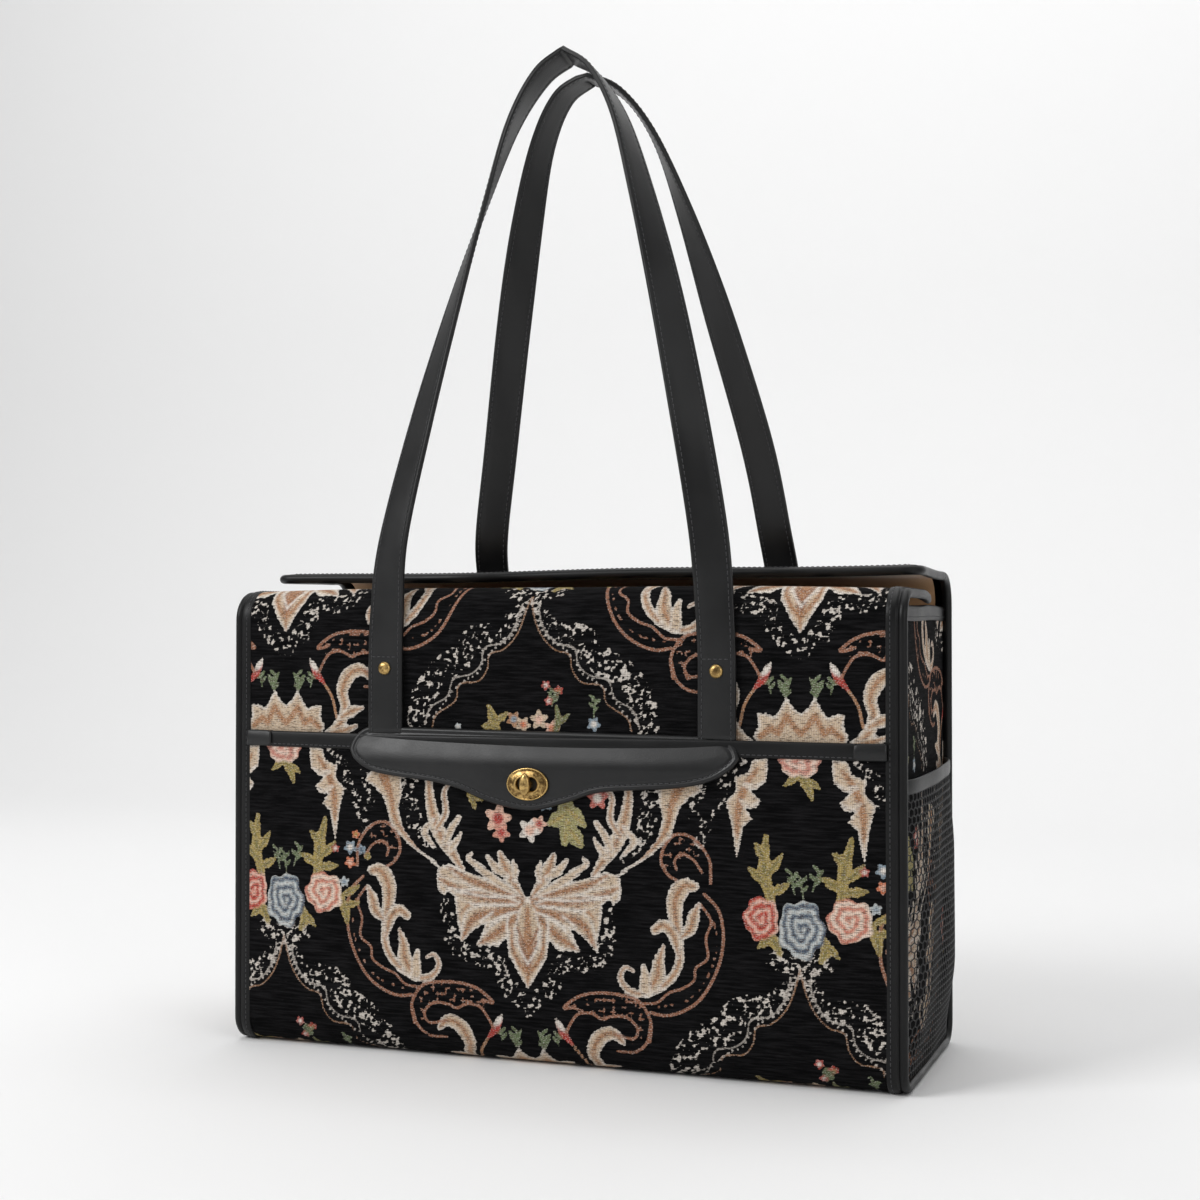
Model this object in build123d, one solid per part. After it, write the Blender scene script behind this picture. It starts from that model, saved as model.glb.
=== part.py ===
"""A boxy tapestry shoulder bag with leather-bound edges, a hinged lid, a front pocket with a turn lock,
a mesh side pocket and two long straps.

Millimetres. X runs to the bag's right, Y from its front to its back, and Z up. The origin is on the surface
that the bag stands on, under the middle of its body.
"""

import os
from math import cos, pi, sin

from build123d import *

# Body
WIDTH = 420.0  # over the corner beads
DEPTH = 150.0  # front panel to back panel
FRONT_HEIGHT = 278.0  # top of the shelf behind the front shoulder
BACK_HEIGHT = 290.0  # top of the back corner, and of the closed lid
GUSSET_HEIGHT = 269.0  # top of the binding on each end panel
BASE_RADIUS = 15.0
SHOULDER_RADIUS = 18.0
BACK_RADIUS = 20.0
SHELF_DEPTH = 62.0  # from the front panel back to the mouth
CORNER_DEPTH = 24.0  # from the back panel forward to the lid's hinge line
CLOTH = 2.4  # tapestry with its interlining
LINING = 1.0
LINING_DROP = 10.0  # lining's top edge below the gusset's
CLEAR = 0.3  # between soft pieces

# Leather edges
LEATHER = 1.2
BEAD = 5.5  # cord bead along each corner
FLANGE = 9.5  # flat strip beside the bead
GUSSET = 2.2
BAND_HEIGHT = 9.0

# Lid
LID_FRONT = -28.0  # the lid's front edge
LID_BEAD = 5.5
LID_CORNER_RADIUS = 12.0
HINGE_GAP = 0.6

# Front pocket
POCKET_TOP = 192.5
POCKET_ROOM = 6.0  # space between the front panel and the pocket's panel
POCKET_CLOTH = 2.0
BINDING_HEIGHT = 9.5
BINDING = 1.0
TAB_LENGTH = 17.0
TAB = 1.2

# Pocket flap and turn lock
FLAP_TOP = 196.5
FLAP_CENTRE = -4.0
FLAP_WIDTH = 243.0
FLAP_THICKNESS = 2.2
FLAP_SIDE = 30.0  # depth of the flap beside its point
FLAP_POINT = 46.5  # depth of the flap at its point
FLAP_SEAM = 3.0
FLAP_CORNER = 14.0
FLAP_SWELL = 16.0  # from each end in to where the lower edge levels out
FLAP_RUN = 54.0  # from each end in to where the lower edge turns down
POINT_HALF = 29.0  # half the width of the point
LOCK_X = -8.0
LOCK_Z = 165.5
PLATE_LENGTH = 26.0
PLATE_HEIGHT = 19.0
PLATE_RISE = 2.6
SLOT_LENGTH = 15.0
SLOT_HEIGHT = 8.0
POST_RADIUS = 3.2
POST_FOOT_RADIUS = 7.0
POST_FOOT = 1.0
KNOB_LENGTH = 13.0
KNOB_WIDTH = 6.6
KNOB_DEPTH = 4.6
STEM_RADIUS = 1.5
STEM_LENGTH = 4.0
RUNNING = 0.08  # radial clearance of the stem in its bore

# Mesh pocket on the right end
MESH_TOP = 166.0
MESH_BAND = 8.0
MESH_BULGE = 12.0
MESH = 1.4
MESH_BASE = 8.0

# Straps
STRAP_WIDTH = 22.5
STRAP = 3.0
STRAP_X = 103.5
SEWN_BOTTOM = 197.5
SEWN_TOP = 239.0
STRAP_GAP = 0.4  # from the panel to a strap that moves
RIVET_Z = 231.5
RIVET_RADIUS = 3.8
RIVET_RISE = 2.2
RIVET_SHANK = 1.5

# Each strap's line up from its joint: across, out from its panel, height, share of a quarter turn
FRONT_LINE = [
    (103.5, 0.0, 0.0, 0.0),
    (102.5, 0.4, 25.0, 0.02),
    (98.5, 1.0, 70.0, 0.22),
    (84.0, -7.0, 141.0, 0.35),
    (66.5, -17.0, 214.0, 0.54),
    (49.0, -25.0, 276.0, 0.76),
    (34.0, -30.0, 321.0, 0.93),
    (17.0, -33.0, 349.0, 1.05),
    (0.0, -35.0, 361.0, 1.1),
]
BACK_LINE = [
    (103.5, 0.0, 0.0, 0.0),
    (101.5, 1.2, 42.0, 0.05),
    (98.5, -8.0, 75.0, 0.11),
    (88.5, -16.0, 133.0, 0.12),
    (69.5, -38.0, 214.0, 0.28),
    (53.0, -55.0, 276.0, 0.6),
    (37.5, -68.0, 321.0, 0.83),
    (20.0, -78.0, 347.0, 0.93),
    (0.0, -83.0, 357.0, 1.0),
]

HALF_DEPTH = DEPTH / 2
GUSSET_FACE = WIDTH / 2 - BEAD  # outer face of each end panel
WRAP_HALF = GUSSET_FACE - GUSSET
FLANGE_INNER = GUSSET_FACE - FLANGE
HINGE_Y = HALF_DEPTH - CORNER_DEPTH
MOUTH_Y = -HALF_DEPTH + SHELF_DEPTH
POCKET_INNER = -HALF_DEPTH - POCKET_ROOM
POCKET_FACE = POCKET_INNER - POCKET_CLOTH
FLAP_INNER = POCKET_FACE - BINDING - CLEAR
FLAP_FACE = FLAP_INNER - FLAP_THICKNESS
SKY = BACK_HEIGHT + 50.0


def side_outline():
    """The bag's outline from the side, in the YZ plane, with its four rounded corners."""
    points = [
        (-HALF_DEPTH, 0),
        (HALF_DEPTH, 0),
        (HALF_DEPTH, BACK_HEIGHT),
        (HINGE_Y, BACK_HEIGHT),
        (HINGE_Y, FRONT_HEIGHT),
        (-HALF_DEPTH, FRONT_HEIGHT),
    ]
    face = make_face(Polyline(*points, close=True))
    low = face.vertices().group_by(Axis.Y)[0]
    face = fillet(low, BASE_RADIUS)
    front = face.vertices().sort_by(Axis.X)[:2].sort_by(Axis.Y)[-1]
    face = fillet(front, SHOULDER_RADIUS)
    back = face.vertices().sort_by(Axis.X)[-2:].sort_by(Axis.Y)[-1]
    return fillet(back, BACK_RADIUS)


def rectangle(left, right, low, high):
    return Pos((left + right) / 2, (low + high) / 2) * Rectangle(right - left, high - low)


def ring(outer, inner):
    """The strip between two insets of the side outline, open along the mouth and front shoulder."""
    outline = side_outline()
    whole = offset(outline, -outer, kind=Kind.INTERSECTION) if outer else outline
    strip = whole - offset(outline, -inner, kind=Kind.INTERSECTION)
    strip -= rectangle(MOUTH_Y, HINGE_Y, FRONT_HEIGHT - inner - 1, SKY)
    return strip - rectangle(HINGE_Y - 1, HINGE_Y + inner, FRONT_HEIGHT - inner - 1, BACK_HEIGHT - inner)


def across(section, low, high):
    """A YZ section made solid from x = low to x = high."""
    placed = Plane.YZ.offset(low) * section
    return extrude(placed, high - low, dir=(1, 0, 0))


def block(x, y, z):
    """A box between two values on each axis."""
    middle = [(low + high) / 2 for low, high in (x, y, z)]
    size = [high - low for low, high in (x, y, z)]
    return Pos(*middle) * Box(*size)


def rod(x, z, radius, low, high):
    """A round bar along Y between two places."""
    return Pos(x, (low + high) / 2, z) * Rot(90, 0, 0) * Cylinder(radius, high - low)


def flanges(side):
    """Where the flat leather strip beside one bead lies, let into the tapestry."""
    ends = sorted((side * FLANGE_INNER, side * GUSSET_FACE))
    return across(ring(0, LEATHER), *ends)


def body_wrap():
    wrap = across(ring(0, CLOTH), -WRAP_HALF, WRAP_HALF)
    wrap -= flanges(1)
    wrap -= flanges(-1)
    for side in (-1, 1):
        for face in (-1, 1):
            inner, outer = sorted((face * (HALF_DEPTH - CLOTH - 1), face * (HALF_DEPTH + 1)))
            wrap -= rod(side * STRAP_X, RIVET_Z, RIVET_SHANK, inner, outer)
    return wrap


def end_panel_shape(top):
    inset = offset(side_outline(), -LEATHER, kind=Kind.INTERSECTION)
    return inset - rectangle(-DEPTH, DEPTH, top, SKY)


def gusset(side):
    ends = sorted((side * WRAP_HALF, side * GUSSET_FACE))
    return across(end_panel_shape(GUSSET_HEIGHT - LEATHER), *ends)


def beside_bead(side):
    """The room that a bead and its clearance take on the outside of an end panel."""
    ends = sorted((side * GUSSET_FACE, side * WIDTH))
    return across(ring(0, BEAD + CLEAR), *ends)


def gusset_band(side):
    """Leather folded over an end panel's top edge."""
    reach = HALF_DEPTH - BEAD - CLEAR
    low = GUSSET_HEIGHT - BAND_HEIGHT
    inner, outer = sorted((side * (WRAP_HALF - LEATHER), side * (GUSSET_FACE + LEATHER)))
    band = block((inner, outer), (-reach, reach), (low, GUSSET_HEIGHT))
    inner, outer = sorted((side * WRAP_HALF, side * GUSSET_FACE))
    band -= block((inner, outer), (-DEPTH, DEPTH), (0, GUSSET_HEIGHT - LEATHER))
    return band - beside_bead(side)


def piping(side):
    """One corner bead with its flat strip, round the front, base and back."""
    ends = sorted((side * GUSSET_FACE, side * WIDTH / 2))
    bead = across(ring(0, BEAD), *ends)
    outer = bead.faces().sort_by(Axis.X)[-1 if side > 0 else 0]
    bead = fillet(outer.edges().filter_by(lambda e: e.length > BEAD + 1), BEAD * 0.4)
    return bead + flanges(side)


def body_lining():
    out = CLOTH + CLEAR
    top = GUSSET_HEIGHT - LINING_DROP
    outer = offset(side_outline(), -out, kind=Kind.INTERSECTION)
    inner = offset(side_outline(), -(out + LINING), kind=Kind.INTERSECTION)
    outer -= rectangle(-DEPTH, DEPTH, top, SKY)
    half = WRAP_HALF - LEATHER - CLEAR
    return across(outer, -half, half) - across(inner, -half + LINING, half - LINING)


def lid_outline(inset):
    """The lid from above, round at its front corners, ending at the hinge line."""
    half = WIDTH / 2 - inset
    front = LID_FRONT + inset
    back = HINGE_Y - HINGE_GAP
    face = rectangle(-half, half, front, back)
    corners = face.vertices().group_by(Axis.Y)[0]
    return fillet(corners, LID_CORNER_RADIUS - inset)


def flat(section, low, high):
    """An XY section made solid from z = low to z = high."""
    return extrude(Pos(0, 0, low) * section, high - low)


def lid_panel():
    return flat(lid_outline(LID_BEAD), BACK_HEIGHT - CLOTH, BACK_HEIGHT)


def lid_lining():
    top = BACK_HEIGHT - CLOTH
    return flat(lid_outline(LID_BEAD), top - LINING, top)


def lid_piping():
    """The cord bead round the lid's front and ends."""
    top = BACK_HEIGHT
    bead = flat(lid_outline(0), top - LID_BEAD, top)
    rims = bead.faces().sort_by(Axis.Z)
    edges = rims[0].edges() + rims[-1].edges()
    bead = fillet([e for e in edges if e.center().Y < HINGE_Y - HINGE_GAP - 0.5], LID_BEAD * 0.4)
    return bead - flat(lid_outline(LID_BEAD), top - LID_BEAD - 1, top + 1)


def front_pocket():
    """A shallow open-topped pouch on the front panel, with its side and bottom seams."""
    half = FLANGE_INNER - CLEAR
    top = POCKET_TOP - BINDING
    pouch = block((-half, half), (POCKET_FACE, -HALF_DEPTH), (BASE_RADIUS, top))
    room = block(
        (-half + POCKET_CLOTH, half - POCKET_CLOTH),
        (POCKET_INNER, -HALF_DEPTH),
        (BASE_RADIUS + POCKET_CLOTH, POCKET_TOP),
    )
    return pouch - room


def pocket_binding():
    """Leather folded over the pocket's top edge."""
    half = FLANGE_INNER - CLEAR - POCKET_CLOTH
    low = POCKET_TOP - BINDING_HEIGHT
    strip = block((-half, half), (POCKET_FACE - BINDING, POCKET_INNER + BINDING), (low, POCKET_TOP))
    return strip - block((-WIDTH, WIDTH), (POCKET_FACE, POCKET_INNER), (0, POCKET_TOP - BINDING))


def binding_tab(side):
    """The short overlapping end of the binding."""
    outer = FLANGE_INNER - CLEAR - POCKET_CLOTH
    ends = sorted((side * (outer - TAB_LENGTH), side * outer))
    face = POCKET_FACE - BINDING
    low = POCKET_TOP - BINDING_HEIGHT
    tab = block(ends, (face - TAB, face), (low, POCKET_TOP))
    return fillet(tab.edges().filter_by(Axis.Y), TAB)


def flap_outline():
    """The flap from the front: square across its top, scalloped below, with its point over the lock."""
    half = FLAP_WIDTH / 2
    left, right = FLAP_CENTRE - half, FLAP_CENTRE + half
    shoulder = FLAP_TOP - FLAP_SIDE
    point = FLAP_TOP - FLAP_POINT
    waist = FLAP_TOP - FLAP_CORNER
    edge = Spline(
        (left, waist),
        (left + FLAP_SWELL, shoulder + 5),
        (left + FLAP_RUN, shoulder - 1),
        (LOCK_X - POINT_HALF, point + 5),
        (LOCK_X, point),
        (LOCK_X + POINT_HALF, point + 6),
        (right - FLAP_RUN, shoulder - 2),
        (right - FLAP_SWELL - 1, shoulder + 4),
        (right, waist),
    )
    ends = [(left + FLAP_CORNER, FLAP_TOP), (right - FLAP_CORNER, FLAP_TOP)]
    outline = edge + RadiusArc(ends[1], (right, waist), FLAP_CORNER)
    outline += Line(*ends) + RadiusArc((left, waist), ends[0], FLAP_CORNER)
    return make_face(outline)


def pocket_flap():
    """The leather flap, with the seam along its top that joins it to the front panel."""
    face = Plane.XZ.offset(-FLAP_FACE - FLAP_THICKNESS) * flap_outline()
    leaf = extrude(face, FLAP_THICKNESS, dir=(0, -1, 0))
    half = FLAP_WIDTH / 2 - FLAP_CORNER
    ends = (FLAP_CENTRE - half, FLAP_CENTRE + half)
    leaf += block(ends, (FLAP_FACE, -HALF_DEPTH), (FLAP_TOP - FLAP_SEAM, FLAP_TOP))
    return leaf - lock_slot(FLAP_FACE - 1, FLAP_INNER + 1)


def lock_slot(low, high):
    slot = Plane.XZ.offset(-high) * Pos(LOCK_X, LOCK_Z) * SlotOverall(SLOT_LENGTH, SLOT_HEIGHT)
    return extrude(slot, high - low, dir=(0, -1, 0))


def lock_plate():
    """The domed oval escutcheon on the flap, with its slot."""
    oval = Plane.XZ.offset(-FLAP_FACE) * Pos(LOCK_X, LOCK_Z) * Ellipse(PLATE_LENGTH / 2, PLATE_HEIGHT / 2)
    plate = extrude(oval, PLATE_RISE, dir=(0, -1, 0))
    plate = fillet(plate.edges().sort_by(Axis.Y)[0], PLATE_RISE * 0.7)
    return plate - lock_slot(FLAP_FACE - PLATE_RISE - 1, FLAP_FACE + 1)


def post_end():
    return FLAP_FACE - PLATE_RISE - CLEAR


def lock_post():
    """The fixed post on the pocket's panel, which comes out through the slot and carries the knob."""
    post = rod(LOCK_X, LOCK_Z, POST_FOOT_RADIUS, POCKET_FACE - POST_FOOT, POCKET_FACE)
    post += rod(LOCK_X, LOCK_Z, POST_RADIUS, post_end(), POCKET_FACE)
    return post - rod(LOCK_X, LOCK_Z, STEM_RADIUS + RUNNING, post_end() - 1, post_end() + STEM_LENGTH + 1)


def lock_knob():
    """The turn knob and its stem, upright when it is locked."""
    near = post_end() - RUNNING
    shape = Plane.XZ.offset(-near) * Pos(LOCK_X, LOCK_Z) * Ellipse(KNOB_WIDTH / 2, KNOB_LENGTH / 2)
    knob = extrude(shape, KNOB_DEPTH, dir=(0, -1, 0))
    knob = fillet(knob.edges().sort_by(Axis.Y)[0], KNOB_WIDTH * 0.25)
    return knob + rod(LOCK_X, LOCK_Z, STEM_RADIUS, near, near + STEM_LENGTH)


def bulge(near, thickness):
    """A shallow arc of wall from above, standing off the right end panel and closed at front and back."""
    reach = HALF_DEPTH - BEAD - CLEAR
    outer = ThreePointArc((near, -reach), (near + MESH_BULGE, 0), (near, reach))
    lens = make_face(outer + Line((near, reach), (near, -reach)))
    inner = ThreePointArc(
        (near, -reach + 5 * thickness),
        (near + MESH_BULGE - thickness, 0),
        (near, reach - 5 * thickness),
    )
    room = make_face(inner + Line((near, reach - 5 * thickness), (near, -reach + 5 * thickness)))
    return lens, room


def mesh_pocket():
    lens, room = bulge(GUSSET_FACE, MESH)
    pocket = flat(lens, MESH_BASE, MESH_TOP)
    pocket -= flat(room, MESH_BASE + MESH, MESH_TOP + 1)
    return pocket - beside_bead(1)


def mesh_band():
    lens, room = bulge(GUSSET_FACE, MESH)
    return flat(lens - room, MESH_TOP, MESH_TOP + MESH_BAND)


def strap_end(side, face):
    """One sewn-down end of a strap, with its rivet hole."""
    x = side * STRAP_X
    near, far = sorted((face * HALF_DEPTH, face * (HALF_DEPTH + STRAP)))
    leg = block((x - STRAP_WIDTH / 2, x + STRAP_WIDTH / 2), (near, far), (SEWN_BOTTOM, SEWN_TOP))
    return leg - rod(x, RIVET_Z, RIVET_SHANK, near - 1, far + 1)


def rivet(side, face):
    """A domed rivet whose shank passes through the strap and the tapestry."""
    x = side * STRAP_X
    seat = face * (HALF_DEPTH + STRAP)
    top = face * (HALF_DEPTH + STRAP + RIVET_RISE)
    dome = rod(x, RIVET_Z, RIVET_RADIUS, *sorted((seat, top)))
    rim = dome.edges().filter_by(GeomType.CIRCLE).sort_by(Axis.Y)[0 if face < 0 else -1]
    dome = fillet(rim, RIVET_RISE * 0.8)
    return dome + rod(x, RIVET_Z, RIVET_SHANK, *sorted((seat, face * (HALF_DEPTH - CLOTH))))


def strap_loop(line, face):
    """A strap's free loop: flat to the bag at its ends, and turned over to lie flat at its top."""
    base_y = face * (HALF_DEPTH + STRAP_GAP + STRAP / 2)
    base_z = SEWN_TOP + CLEAR
    left = [Vector(-x, base_y + face * out, base_z + up) for x, out, up, _ in line]
    right = [Vector(-p.X, p.Y, p.Z) for p in reversed(left[:-1])]
    points = left + right
    turns = [turn for *_, turn in line]
    turns += turns[-2::-1]
    sections = []
    for i, (point, turn) in enumerate(zip(points, turns)):
        if i in (0, len(points) - 1):
            along = Vector(0, 0, 1 if i == 0 else -1)
        else:
            along = (points[i + 1] - points[i - 1]).normalized()
        flat_to_bag = Vector(0, face, 0) - along * (along.Y * face)
        over = along.cross(Vector(0, 1, 0)).normalized()
        angle = pi / 2 * turn
        normal = flat_to_bag.normalized() * cos(angle) + over * sin(angle)
        plane = Plane(origin=point, x_dir=along.cross(normal), z_dir=along)
        sections.append(plane * Rectangle(STRAP_WIDTH, STRAP))
    return loft(sections, ruled=True)


def build():
    nodes = {
        "body_wrap": body_wrap(),
        "body_lining": body_lining(),
        "lid_panel": lid_panel(),
        "lid_lining": lid_lining(),
        "lid_piping": lid_piping(),
        "front_pocket": front_pocket(),
        "pocket_binding": pocket_binding(),
        "pocket_flap": pocket_flap(),
        "lock_plate": lock_plate(),
        "lock_post": lock_post(),
        "lock_knob": lock_knob(),
        "right_mesh_pocket": mesh_pocket(),
        "right_mesh_band": mesh_band(),
        "front_handle_loop": strap_loop(FRONT_LINE, -1),
        "back_handle_loop": strap_loop(BACK_LINE, 1),
    }
    for name, side in (("left", -1), ("right", 1)):
        nodes[f"{name}_gusset"] = gusset(side)
        nodes[f"{name}_gusset_band"] = gusset_band(side)
        nodes[f"{name}_piping"] = piping(side)
        nodes[f"{name}_binding_tab"] = binding_tab(side)
        for place, face in (("front", -1), ("back", 1)):
            nodes[f"{place}_{name}_strap_end"] = strap_end(side, face)
            nodes[f"{place}_{name}_rivet"] = rivet(side, face)
    return nodes


os.makedirs("parts", exist_ok=True)
for node, solid in build().items():
    export_step(solid, f"parts/{node}.step")
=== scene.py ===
"""Looks of the tapestry shoulder bag, in metres, in the frame of its CAD model."""

from math import cos, pi, radians, sin, sqrt

import bpy
import numpy as np
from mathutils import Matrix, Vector

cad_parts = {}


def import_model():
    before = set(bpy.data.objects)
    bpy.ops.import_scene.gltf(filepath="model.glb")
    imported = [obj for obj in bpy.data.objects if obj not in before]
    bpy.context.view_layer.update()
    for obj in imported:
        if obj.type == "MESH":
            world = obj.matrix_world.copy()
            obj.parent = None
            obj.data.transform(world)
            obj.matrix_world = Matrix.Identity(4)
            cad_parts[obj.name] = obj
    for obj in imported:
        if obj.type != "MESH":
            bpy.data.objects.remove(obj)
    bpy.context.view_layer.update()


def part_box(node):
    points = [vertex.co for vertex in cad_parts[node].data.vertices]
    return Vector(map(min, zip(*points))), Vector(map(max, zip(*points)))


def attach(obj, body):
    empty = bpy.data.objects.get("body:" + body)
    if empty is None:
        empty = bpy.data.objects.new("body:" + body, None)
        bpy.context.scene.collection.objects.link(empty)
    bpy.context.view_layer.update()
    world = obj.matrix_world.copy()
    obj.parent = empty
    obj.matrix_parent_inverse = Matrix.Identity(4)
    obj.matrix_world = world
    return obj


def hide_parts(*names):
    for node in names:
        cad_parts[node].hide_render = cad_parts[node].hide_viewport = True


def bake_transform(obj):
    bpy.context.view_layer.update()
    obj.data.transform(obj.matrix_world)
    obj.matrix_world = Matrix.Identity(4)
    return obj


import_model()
MM = 0.001

# ---------------------------------------------------------------- sizes read from the frame, in millimetres


def span(node):
    low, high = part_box(node)
    return np.array(low) / MM, np.array(high) / MM


WRAP_HIGH = span("body_wrap")[1]
PIPE_HIGH = span("right_piping")[1]
LID_LOW, LID_HIGH = span("lid_piping")
END_LOW, END_HIGH = span("front_right_strap_end")
BINDING_HIGH = span("pocket_binding")[1]
FLAP_LOW, FLAP_HIGH = span("pocket_flap")
PLATE_LOW, PLATE_HIGH = span("lock_plate")
KNOB_LOW, KNOB_HIGH = span("lock_knob")
NET_LOW, NET_HIGH = span("right_mesh_pocket")
NET_BAND_LOW, NET_BAND_HIGH = span("right_mesh_band")
GUSSET_HIGH = span("right_gusset")[1]
BAND_LOW, BAND_HIGH = span("right_gusset_band")

HALF_WIDTH = PIPE_HIGH[0]
HALF_DEPTH = WRAP_HIGH[1]
TOP = WRAP_HIGH[2]
SHELF_Z = TOP - 12.0
MOUTH_Y = -13.0
HINGE_Y = LID_HIGH[1] + 0.6
BASE_RADIUS = 15.0
SHOULDER_RADIUS = 18.0
BACK_RADIUS = 20.0
FLANGE = 6.3  # what shows of the flat strip beside the bead
GUSSET_X = GUSSET_HIGH[0]
POCKET_LIFT = 2.2  # the pocket's tapestry lies this far off the front panel


def smooth(low, high, value):
    t = np.clip((np.asarray(value, float) - low) / (high - low), 0, 1)
    return t * t * (3 - 2 * t)


# ---------------------------------------------------------------- the bag's side profile


ARC_STEP = 1.2


def arc_points(centre, radius, start, stop):
    count = max(3, int(abs(stop - start) * radius / ARC_STEP))
    angles = np.linspace(start, stop, count)
    return [(centre[0] + radius * cos(a), centre[1] + radius * sin(a)) for a in angles]


def side_profile():
    """Points of the tapestry strip from the mouth down the front, under and up the back."""
    points = [(MOUTH_Y, SHELF_Z)]
    points += arc_points(
        (-HALF_DEPTH + SHOULDER_RADIUS, SHELF_Z - SHOULDER_RADIUS), SHOULDER_RADIUS, pi / 2, pi
    )
    points += arc_points((-HALF_DEPTH + BASE_RADIUS, BASE_RADIUS), BASE_RADIUS, pi, 1.5 * pi)
    points += arc_points((HALF_DEPTH - BASE_RADIUS, BASE_RADIUS), BASE_RADIUS, 1.5 * pi, 2 * pi)
    points += arc_points((HALF_DEPTH - BACK_RADIUS, TOP - BACK_RADIUS), BACK_RADIUS, 0, pi / 2)
    points += [(HINGE_Y, TOP)]
    return np.array(points)


PROFILE = side_profile()
STEPS = np.hypot(*np.diff(PROFILE, axis=0).T)
LENGTHS = np.concatenate([[0], np.cumsum(STEPS)])
STRIP = LENGTHS[-1]


def at_length(s):
    """Places and outward normals on the side profile at distances s from the mouth."""
    s = np.asarray(s, float)
    y = np.interp(s, LENGTHS, PROFILE[:, 0])
    z = np.interp(s, LENGTHS, PROFILE[:, 1])
    ahead = [
        np.interp(s + 1.5, LENGTHS, PROFILE[:, k]) - np.interp(s - 1.5, LENGTHS, PROFILE[:, k])
        for k in (0, 1)
    ]
    size = np.hypot(*ahead)
    return y, z, ahead[1] / size, -ahead[0] / size


def length_at_front(z):
    """Distance along the strip of a height on the flat of the front."""
    top = LENGTHS[np.argmax(PROFILE[:, 0] <= -HALF_DEPTH + 1e-6)]
    return top + (SHELF_Z - SHOULDER_RADIUS - z)


FRONT_ZERO = length_at_front(0.0)


def ripple(a, b, seed):
    """A slow, smooth waviness in -1 to 1 over a surface's two distances."""
    rng = np.random.default_rng(seed)
    total = 0
    for _ in range(6):
        ka, kb, phase = rng.uniform(-0.035, 0.035), rng.uniform(-0.035, 0.035), rng.uniform(0, 2 * pi)
        total = total + np.sin(a * ka + b * kb + phase)
    return total / 6


def strip_surface(x, s, lift=0.0):
    """Places on the soft tapestry strip. It swells between its bound edges."""
    y, z, ny, nz = at_length(s)
    inside = 1 - (np.abs(x) / (HALF_WIDTH - 10)) ** 4
    inside = np.clip(inside, 0, 1)
    v = FRONT_ZERO - s
    front = smooth(0, 60, v) * smooth(300, 230, v)
    shoulder = smooth(215, 262, v) * smooth(330, 280, v)
    back = smooth(-130, -190, v) * smooth(-430, -330, v)
    swell = inside * (1.6 * front + 1.8 * shoulder + 2.0 * back)
    swell = swell + inside * 0.9 * ripple(x, s, 3) * smooth(-5, 40, np.abs(v))
    base = smooth(10, -12, v) * smooth(-140, -118, v)
    total = (swell * (1 - base) + lift) - 0.2
    return np.stack([x + 0 * y, y + ny * total, z + nz * total + 0.25], -1)


# ---------------------------------------------------------------- mesh helpers


def add_piece(name, verts, faces, body, material, stands_for=(), uv=None, colour=None):
    mesh = bpy.data.meshes.new(name)
    mesh.from_pydata([tuple(v) for v in np.asarray(verts, float) * MM], [], [tuple(f) for f in faces])
    mesh.validate()
    mesh.polygons.foreach_set("use_smooth", [True] * len(mesh.polygons))
    if uv is not None:
        layer = mesh.uv_layers.new(name="Cloth")
        loops = np.empty(len(mesh.loops), np.int32)
        mesh.loops.foreach_get("vertex_index", loops)
        layer.data.foreach_set("uv", (np.asarray(uv, float)[loops] * MM).ravel())
    if colour is not None:
        attribute = mesh.color_attributes.new("Weave", "FLOAT_COLOR", "POINT")
        attribute.data.foreach_set("color", np.asarray(colour, np.float32).ravel())
    obj = bpy.data.objects.new(name, mesh)
    bpy.context.scene.collection.objects.link(obj)
    obj.data.materials.append(material)
    if body:
        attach(obj, body)
    if stands_for:
        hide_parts(*stands_for)
    return obj


def grid_faces(rows, columns, closed_columns=False, offset=0):
    faces = []
    for r in range(rows - 1):
        for c in range(columns if closed_columns else columns - 1):
            low, high = offset + r * columns, offset + (r + 1) * columns
            beside = (c + 1) % columns
            faces.append((low + c, low + beside, high + beside, high + c))
    return faces


def sweep(centres, across, out, section):
    """A closed section carried along centres. across and out are the section's directions."""
    centres, across, out = (np.asarray(a, float) for a in (centres, across, out))
    section = np.asarray(section, float)
    if section.ndim == 2:
        section = np.repeat(section[None], len(centres), 0)
    verts = centres[:, None] + section[..., :1] * across[:, None] + section[..., 1:] * out[:, None]
    count = section.shape[1]
    faces = grid_faces(len(centres), count, closed_columns=True)
    faces.append(tuple(range(count))[::-1])
    last = (len(centres) - 1) * count
    faces.append(tuple(range(last, last + count)))
    return verts.reshape(-1, 3), faces


def circle(radius, count=12):
    return [(radius * cos(2 * pi * k / count), radius * sin(2 * pi * k / count)) for k in range(count)]


def joined(parts):
    """Several (verts, faces) made one."""
    verts, faces, start = [], [], 0
    for v, f in parts:
        verts.append(np.asarray(v, float))
        faces += [tuple(i + start for i in face) for face in f]
        start += len(v)
    return np.concatenate(verts), faces


def run_along(path):
    """Distance from a path's start to each of its points."""
    return np.concatenate([[0], np.cumsum(np.linalg.norm(np.diff(path, axis=0), axis=1))])


def headings(path):
    """Unit tangents of a path."""
    tangent = np.gradient(path, axis=0)
    return tangent / np.linalg.norm(tangent, axis=1)[:, None]


def same(direction, count):
    """One direction, once for each point of a path."""
    return np.repeat([direction], count, 0)


def to_segment(x, z, a, b):
    """Distances to the line from a to b, and how far along it the nearest places are."""
    ex, ez = b[0] - a[0], b[1] - a[1]
    t = np.clip(((x - a[0]) * ex + (z - a[1]) * ez) / (ex * ex + ez * ez + 1e-9), 0, 1)
    return np.hypot(x - a[0] - t * ex, z - a[1] - t * ez), t


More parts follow.
